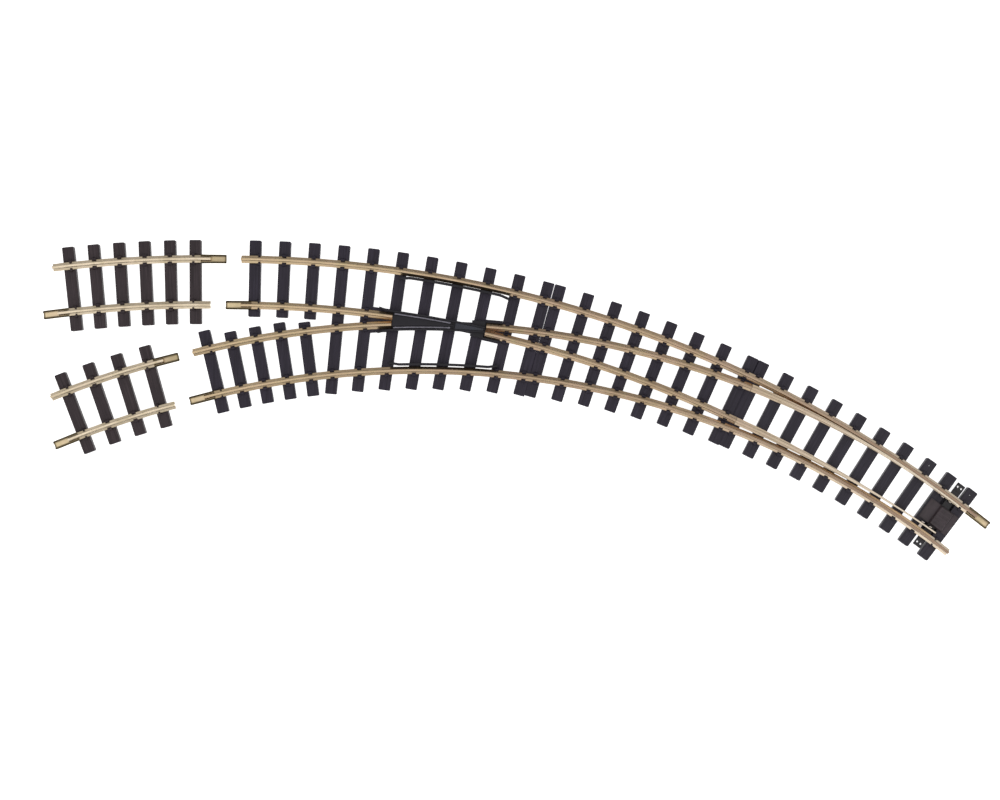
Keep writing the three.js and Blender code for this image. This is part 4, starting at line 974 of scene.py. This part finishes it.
def make_switch_frame():
    distances = [*places(SWITCH_START, SWITCH_PITCH, SWITCH_SLEEPERS), BAR_SLEEPER, TOE_SLEEPER]
    ties = []
    for line in (OUTER_STOCK, INNER_STOCK):
        ties.append(tie(line, line.angle(TOE_SLEEPER), line.angle(SWITCH_START)))
    grips, cuts = end_fittings((OUTER_CENTRE, OUTER_RADIUS, TOE_ANGLE, 1))
    for distance in distances[:-1]:
        grips += stock_chairs(distance, 0)
    for distance in (DRIVE_SLEEPER, TOE_SLEEPER):
        hole = rod(DRIVE_HOLE_RADIUS, -1, SLEEPER_HEIGHT + 1)
        cuts.append(at(distance, hole, OUTER_STOCK.radius + DRIVE_HOLE_OUT))
    for line in (INNER_NEAR, OUTER_NEAR):
        cuts.append(at(BLADE_PIVOT, rod(PIN_RADIUS + GAP, 1, SLEEPER_HEIGHT + 1), line.reach(BLADE_PIVOT)))
    groove_out = TAB_REACH + 2 * GAP
    groove_in = LUG_FAR + THROW + 1
    for near, far in (
        (OUTER_STOCK.radius - groove_in, OUTER_STOCK.radius + groove_out),
        (OUTER_NEAR.radius - groove_out, OUTER_NEAR.radius + groove_in),
    ):
        groove = block(near, far, TAB_LENGTH + TAB_ROOM, TAB_LOW - GAP, SLEEPER_HEIGHT + 1)
        cuts.append(at(TAB_PLACE, groove))
    cuts.append(past_joint(SWITCH_JOINT, 1))
    tray_span = OUTER_NEAR.radius + BAR_TRAY_INSET, OUTER_STOCK.radius - BAR_TRAY_INSET
    tray_width = TOE_SLEEPER - BAR_SLEEPER - SLEEPER_WIDTH + SLEEPER_WALL
    tray = at((BAR_SLEEPER + TOE_SLEEPER) / 2, block(*tray_span, tray_width, TIE_LOW, BAR_TRAY_HIGH))
    sleepers = [sleeper_across(distance) for distance in distances]
    made = sleeper_frame(sleepers, ties, grips, cuts, trays=[[tray]])
    stand_for("sleeper_frame_switch", made, outer_sleepers, outer_sleepers, chair_plastic)


# -------------------- frog


def flare_at(distance, start, end):
    nearest = min(distance - start, end - distance)
    return FLARE_OUT * max(0.0, 1 - nearest / FLARE_LENGTH)


def make_frog_body():
    back = VEE_BACK + VEE_GAP
    throat = THROAT - THROAT_GAP
    shoulder = throat - SHOULDER_LENGTH
    flare_from = INNER_NEAR.angle(WING_FLARE)
    flare_to = INNER_NEAR.angle(WING_FLARE + FLARE_LENGTH)

    def outer_wing(angle):
        return OUTER_NEAR.radius + WING_OFFSET + flare_at(distance_of(angle), WING_FLARE, ROUTE_LENGTH)

    def inner_wing(angle):
        flare = FLARE_OUT * max(0.0, (angle - flare_to) / (flare_from - flare_to))
        return INNER_NEAR.radius - WING_OFFSET - flare

    def outer_band(start, end, near, far, high, chamfer=0.0):
        return OUTER_NEAR.band(start, end, rectangle(near, far, SEAT, high, chamfer), 0.25)

    def inner_band(start, end, near, far, high, chamfer=0.0):
        return INNER_NEAR.band(start, end, rectangle(near, far, SEAT, high, chamfer), 0.3)

    wing = rectangle(-WING_THICK / 2, WING_THICK / 2, SEAT, RAIL_TOP, 0.35)
    floor_half = WING_OFFSET + WING_THICK / 2
    footing = 3.5
    cheek_near = FOOT_HALF + GAP
    cheek_far = cheek_near + CHEEK_THICK
    made = solid("vee", [outer_band(back, VEE_NOSE, -4 * footing, HEAD_HALF, RAIL_TOP, 0.25)])
    made = keep(made, [inner_band(back - 2, VEE_NOSE + 2, -HEAD_HALF, 5 * footing, RAIL_TOP + 0.01)])
    for shell in (
        outer_band(back, throat, -footing, floor_half, FROG_FLOOR),
        inner_band(back, throat, -floor_half, footing, FROG_FLOOR),
        sweep(OUTER_CENTRE, outer_wing, along(WING_FLARE), along(throat), wing, 0.15),
        sweep(INNER_CENTRE, inner_wing, flare_from, INNER_NEAR.angle(throat), wing, 0.2),
        inner_band(shoulder, throat, 0, cheek_far, FROG_FLOOR, 0.3),
        outer_band(shoulder, throat, -cheek_far, 0, FROG_FLOOR, 0.3),
        inner_band(shoulder, CHEEK_END, cheek_near, cheek_far, CHEEK_HIGH, 0.3),
        outer_band(shoulder, CHEEK_END, -cheek_far, -cheek_near, CHEEK_HIGH, 0.3),
    ):
        made = union(made, [shell])
    stand_for("frog_body", made, frog_plastic, sharp=25)


def make_frog_inlays():
    """The bright strips in the flangeways and the smooth plate in the throat."""
    level = FROG_FLOOR + GAP
    start = VEE_BACK + 2 * VEE_GAP
    band = rectangle(-STRIP_WIDTH / 2, STRIP_WIDTH / 2, level, level + STRIP_HIGH, 0.15)
    for name, line, side in (("outer", OUTER_NEAR, 1), ("inner", INNER_NEAR, -1)):
        radius = line.radius + side * (HEAD_HALF + FLANGEWAY / 2)
        made = solid("strip", [sweep(line.centre, radius, line.angle(start), line.angle(STRIP_END), band)])
        rivet = softened(rod(STRIP_RIVET, level + 0.05, level + STRIP_HIGH + RIVET_HIGH), 0.2, 2)
        made = union(made, [placed(rivet, line.centre, line.angle(STRIP_END - STRIP_RIVET), radius)])
        stand_for("frog_strip_" + name, made, strip_steel)

    inside = WING_OFFSET - WING_THICK / 2 - GAP
    begin, finish = VEE_NOSE + 1.5, THROAT - 2 * THROAT_GAP
    band = rectangle(-3 * inside, inside, level, level + 0.8)
    plate = solid("plate", [OUTER_NEAR.band(begin, finish, band)])
    room = rectangle(-inside, 3 * inside, level - 1, level + 2)
    plate = keep(plate, [INNER_NEAR.band(begin - 3, finish + 3, room)])
    stand_for("frog_throat_plate", plate, throat_plastic)


def make_check_rails():
    def outer_radius(angle):
        return OUTER_STOCK.radius - OUTER_CHECK_OFFSET - flare_at(distance_of(angle), *OUTER_CHECK)

    def inner_radius(angle):
        distance = math.radians(angle - TOE_ANGLE) * INNER_RADIUS
        return INNER_STOCK.radius + INNER_CHECK_OFFSET + flare_at(distance, *INNER_CHECK)

    outer_ends = [along(distance) for distance in OUTER_CHECK]
    inner_ends = [TOE_ANGLE + math.degrees(distance / INNER_RADIUS) for distance in INNER_CHECK]
    band = rectangle(-CHECK_THICK / 2, CHECK_THICK / 2, SEAT, CHECK_HIGH, 0.35)
    for node, centre, radius, ends, step in (
        ("check_rail_outer", OUTER_CENTRE, outer_radius, outer_ends, 0.1),
        ("check_rail_inner", INNER_CENTRE, inner_radius, inner_ends, 0.12),
    ):
        stand_for(node, solid("check", [sweep(centre, radius, *ends, band, step)]), frog_plastic)


# -------------------- blades and throw bar

BAR_ARM = math.radians(along(BLADE_PIVOT) - along(BAR_PLACE)) * OUTER_RADIUS
TIP_ARM = math.radians(along(BLADE_PIVOT) - along(BLADE_TIP)) * OUTER_RADIUS
OPEN_TURN = THROW / BAR_ARM


def stock_room(towards):
    """The outline that a blade is planed to beside its stock rail."""
    blade = -towards
    far = -4 * blade * FOOT_HALF
    foot, head = blade * (FOOT_HALF + GAP), blade * (HEAD_HALF + GAP)
    return lifted([
        (far, -1), (foot, -1), (foot, STOCK_FOOT_ROOM), (head, STOCK_FOOT_ROOM),
        (head, RAIL_HEIGHT + 1), (far, RAIL_HEIGHT + 1),
    ])


def make_blade(name, line, stock, towards, opening):
    """A blade on its line, with its pin, lug and tab, opened from its stock rail by an angle."""
    pivot_reach = line.reach(BLADE_PIVOT)
    pivot = on_circle(OUTER_CENTRE, pivot_reach, along(BLADE_PIVOT))
    turn = opening - towards * BLADE_SET_OFF / TIP_ARM
    heel, tip, taper_end = [line.angle(place) for place in (HEEL, BLADE_TIP, HEEL + BLADE_TAPER)]

    def edge_radius(side, angle):
        share = min(1.0, (angle - heel) / (taper_end - heel))
        return line.radius + side * (FOOT_HALF + share * (BLADE_FOOT_TIP - FOOT_HALF))

    trims = []
    for side, near, far in ((-1, -2 * FOOT_HALF, 0), (1, 0, 2 * FOOT_HALF)):
        band = rectangle(near, far, SEAT - 1, RAIL_TOP + 1)
        edge = sweep(line.centre, partial(edge_radius, side), heel + 1, tip - 1, band)
        trims.append(turned_about(edge, pivot, turn))
    made = solid("blade", [turned_about(line.band(HEEL, BLADE_TIP, BLADE_OUTLINE), pivot, turn)])
    made = cut(made, trims)
    room = stock.band(HEEL - 10, BLADE_TIP + 10, stock_room(towards))
    made = cut(made, [turned_about(room, pivot, opening)])
    stand_for("blade_" + name, made, blade_brass, sharp=25)

    def bracket(place, near_edge, far_edge, length, low, high):
        reaches = sorted(stock.radius - towards * edge for edge in (near_edge, far_edge))
        shell = softened(block(*reaches, length, low, high), 0.14, 1)
        return turned_about(placed(shell, stock.centre, stock.angle(place)), pivot, opening)

    lug = solid("lug", [bracket(BAR_PLACE, LUG_NEAR, LUG_FAR, LUG_LENGTH, LUG_LOW, LUG_HIGH)])
    stand_for("blade_lug_" + name, lug, bracket_steel)
    tab = solid("tab", [bracket(TAB_PLACE, LUG_NEAR, LUG_FAR, TAB_LENGTH, TAB_LOW, LUG_HIGH)])
    inset = 0.02
    sole = bracket(TAB_PLACE, -TAB_REACH, LUG_FAR - 0.05, TAB_LENGTH - inset, TAB_LOW + inset, TAB_HIGH)
    tab = union(tab, [sole])
    stand_for("blade_tab_" + name, tab, bracket_steel)
    pin = at(BLADE_PIVOT, softened(rod(PIN_RADIUS, PIN_LOW, SLEEPER_HEIGHT), 0.2, 2), pivot_reach)
    stand_for("heel_pin_" + name, solid("pin", [pin]), steel)


def make_throw_bar():
    outer_end = OUTER_RADIUS + BAR_OUTER_END
    inner_end = outer_end - BAR_LENGTH

    def lump(reach, half, width, high, edge, segments):
        shell = softened(block(reach - half, reach + half, width, BAR_LOW + 1, high), edge, segments)
        return at(BAR_PLACE, shell)

    bar = softened(block(inner_end, outer_end, BAR_WIDTH, BAR_LOW, BAR_HIGH), 0.5, 3)
    made = solid("bar", [at(BAR_PLACE, bar)])
    made = union(made, [lump(OUTER_RADIUS + THROW / 2, KNOB_HALF, 2 * KNOB_HALF, KNOB_HIGH, 0.35, 2)])
    # raised ribs round the eyes and on the stretches between blade and rail
    reaches = [inner_end + inset for inset in INNER_RIBS] + [outer_end - inset for inset in OUTER_RIBS]
    made = union(made, [lump(reach, 0.6, BAR_WIDTH - 1.2, BAR_HIGH + 0.45, 0.2, 1) for reach in reaches])
    lug_middle = (LUG_NEAR + LUG_FAR) / 2
    cuts = []
    for reach in (OUTER_STOCK.radius - lug_middle, OUTER_NEAR.radius + lug_middle + THROW):
        slot = block(-SLOT_HALF, SLOT_HALF, LUG_LENGTH + SLOT_ROOM, BAR_LOW - 1, BAR_HIGH + 1)
        cuts.append(at(BAR_PLACE, slot, reach))
    for reach in (outer_end - EYE_INSET, inner_end + EYE_INSET):
        for shift in (-EYE_SHIFT, EYE_SHIFT):
            cuts.append(at(BAR_PLACE, rod(EYE_RADIUS, BAR_LOW - 1, BAR_HIGH + 1), reach, shift))
    stand_for("throw_bar", cut(made, cuts), bar_plastic)


def make_toe_cover():
    near, far = OUTER_RADIUS - COVER_HALF, OUTER_RADIUS + COVER_HALF
    box_place = ROUTE_LENGTH - (BOX_FROM + BOX_TO) / 2
    box_length = BOX_TO - BOX_FROM
    plate = softened(block(near, far, COVER_TO - COVER_FROM, SEAT, SEAT + COVER_SHEET), 0.3, 2)
    made = solid("cover", [at(ROUTE_LENGTH - (COVER_FROM + COVER_TO) / 2, plate)])
    box = softened(block(near + 0.02, far - 0.02, box_length, SEAT + 0.4, BOX_HIGH - 0.6, 3.0), 0.5, 3)
    made = union(made, [at(box_place, box)])
    pitch = 2 * COVER_HALF / RIB_COUNT
    half = 0.3 * pitch
    ribs = []
    for reach in places(near + 0.5 * pitch, pitch, RIB_COUNT):
        rib = block(reach - half, reach + half, box_length - 3.4, BOX_HIGH - 2, BOX_HIGH)
        ribs.append(at(box_place, softened(rib, 0.45, 2)))
    made = union(made, ribs)
    room = block(near + BOX_WALL, far - BOX_WALL, box_length - 2 * BOX_WALL, SEAT - 1, BOX_HIGH - 1.8)
    stand_for("toe_cover", cut(made, [at(box_place, room)]), cover_plastic)


def make_detent_leaf():
    """A thin leaf beside the bar's knob, with a hump between the knob's two places."""
    half = COVER_HALF - BOX_WALL - GAP
    steps = 20
    thick = 0.5
    line = []
    for index in range(2 * steps + 1):
        across = half * (index / steps - 1)
        hump = 2.5 * math.exp(-((across / 1.25) ** 2))
        line.append((across, -4.4 - 0.6 * (across / half) ** 2 + hump))
    outline = line + [(across, out - thick) for across, out in reversed(line)]
    leaf = at(BAR_PLACE, prism(outline, SEAT + 0.2, SEAT + 2.6), OUTER_RADIUS)
    stand_for("detent_spring", solid("leaf", [leaf]), steel)


# -------------------- adapters


def make_adapter(name, route_centre, radius, start, count, pitch):
    prefix = "adapter_" + name
    centre = on_circle(route_centre, ADAPTER_PULLED_OUT, start + 90)
    inside, outside = Line(centre, radius - HALF_SPACING), Line(centre, radius + HALF_SPACING)
    end = start + ADAPTER_SWEEP
    pitch_angle = math.degrees(pitch / radius)
    angles = places((start + end) / 2 - (count - 1) / 2 * pitch_angle, pitch_angle, count)
    span = inside.radius - SLEEPER_OVERHANG, outside.radius + SLEEPER_OVERHANG
    ties = [tie(line, angles[0], angles[-1]) for line in (inside, outside)]
    grips, cuts = end_fittings((centre, radius, start, 1), (centre, radius, end, -1))
    for angle in angles[1:-1]:
        grips += chairs(inside, angle) + chairs(outside, angle)
    body = sleeper_frame([(centre, angle, *span) for angle in angles], ties, grips, cuts)
    plastic = sleeper_plastic("sleeper plastic, " + name + " adapter", centre, *ADAPTER_TONES)
    brass = drawn_brass("rail brass, " + name + " adapter", centre, *ADAPTER_BRASS)
    stand_for(prefix + "_sleepers", body, plastic, plastic, chair_plastic)
    stand_for(prefix + "_rail_far", rail(outside, start, end), brass)
    stand_for(prefix + "_rail_near", rail(inside, start, end), brass)
    fit_joiner(prefix + "_joiner_right", outside, start, -1)
    fit_joiner(prefix + "_joiner_left", inside, end, 1)


# -------------------- stage


def make_floor():
    """White paper that glows a little, just below the object."""
    size = 6.0
    low = -0.0002
    mesh = bpy.data.meshes.new("floor")
    mesh.from_pydata([(x, y, low) for x, y in rectangle(-size, size, -size, size)], [], [(0, 1, 2, 3)])
    paper = Finish("white paper")
    paper.surface(color=(0.93, 0.93, 0.93), rough=0.9, gloss=0.1, emission=(1, 1, 1), glow=0.9)
    mesh.materials.append(paper.material)
    floor = linked("floor", mesh)


def make_sky():
    """Bright to the west, fairly bright to the east, dimmer just east of the zenith."""
    brightest = 1.5
    stops = ((0.0, 1.0), (0.27, 1.0), (0.40, 0.86), (0.50, 0.52), (0.575, 0.30), (0.62, 0.9), (1.0, 1.0))
    world = bpy.data.worlds.new("studio")
    world.use_nodes = True
    bpy.context.scene.world = world
    sky = Nodes(world.node_tree)
    x, y, z = sky.add("SeparateXYZ", {0: sky.add("TexCoord", {})["Generated"]})
    sides = sky.add("ValToRGB", {0: sky.maths("MULTIPLY_ADD", x, 0.5, 0.5)})["Color"]
    ramp = sides.node.color_ramp
    ramp.interpolation = "EASE"
    while len(ramp.elements) < len(stops):
        ramp.elements.new(0.5)
    for element, (position, level) in zip(ramp.elements, stops):
        element.position = position
        element.color = (level, level, level, 1)
    north_dim = sky.maths("MULTIPLY_ADD", y, -0.35 * brightest, brightest)
    height = sky.maths("POWER", sky.maths("MAXIMUM", z, 0.0), 1.2)
    background = sky.tree.nodes["Background"].inputs
    sky.put(background["Color"], (1, 1, 1))
    sky.put(background["Strength"], sky.maths("MULTIPLY", sky.maths("MULTIPLY", sides, north_dim), height))


def make_key_light():
    light = bpy.data.lights.new("key", "AREA")
    light.shape = "RECTANGLE"
    light.size, light.size_y = 2.4, 1.2
    light.energy = 0.8
    key = linked("key", light)
    key.location = (-1.2, -1.5, 1.7)
    key.rotation_euler = (-key.location).to_track_quat("-Z", "Y").to_euler()


def make_camera():
    """Straight above, with the whole set across the picture."""
    data = bpy.data.cameras.new("camera")
    camera = linked("camera", data)
    bpy.context.scene.camera = camera
    seen_width = 1.0412
    distance = 2.7
    data.sensor_width = 36
    data.lens = data.sensor_width * distance / seen_width
    data.clip_end = 20
    camera.location = (-0.0178, -0.0002, RAIL_TOP * MM + distance)
    camera.rotation_euler = (0, 0, math.radians(0.55))


bpy.context.scene.view_settings.view_transform = "Standard"
make_floor()
make_sky()
make_key_light()
make_camera()
make_rails()
make_joiners()
make_leg_frame()
make_middle_frame()
make_switch_frame()
make_frog_body()
make_frog_inlays()
make_check_rails()
make_blade("outer", INNER_NEAR, OUTER_STOCK, towards=1, opening=0.0)
make_blade("inner", OUTER_NEAR, INNER_STOCK, towards=-1, opening=OPEN_TURN)
make_throw_bar()
make_toe_cover()
make_detent_leaf()
make_feeds()
make_adapter("outer", OUTER_CENTRE, OUTER_RADIUS, OUTER_END_ANGLE, count=6, pitch=25.8)
make_adapter("inner", INNER_CENTRE, INNER_RADIUS, INNER_END_ANGLE, count=4, pitch=29.5)
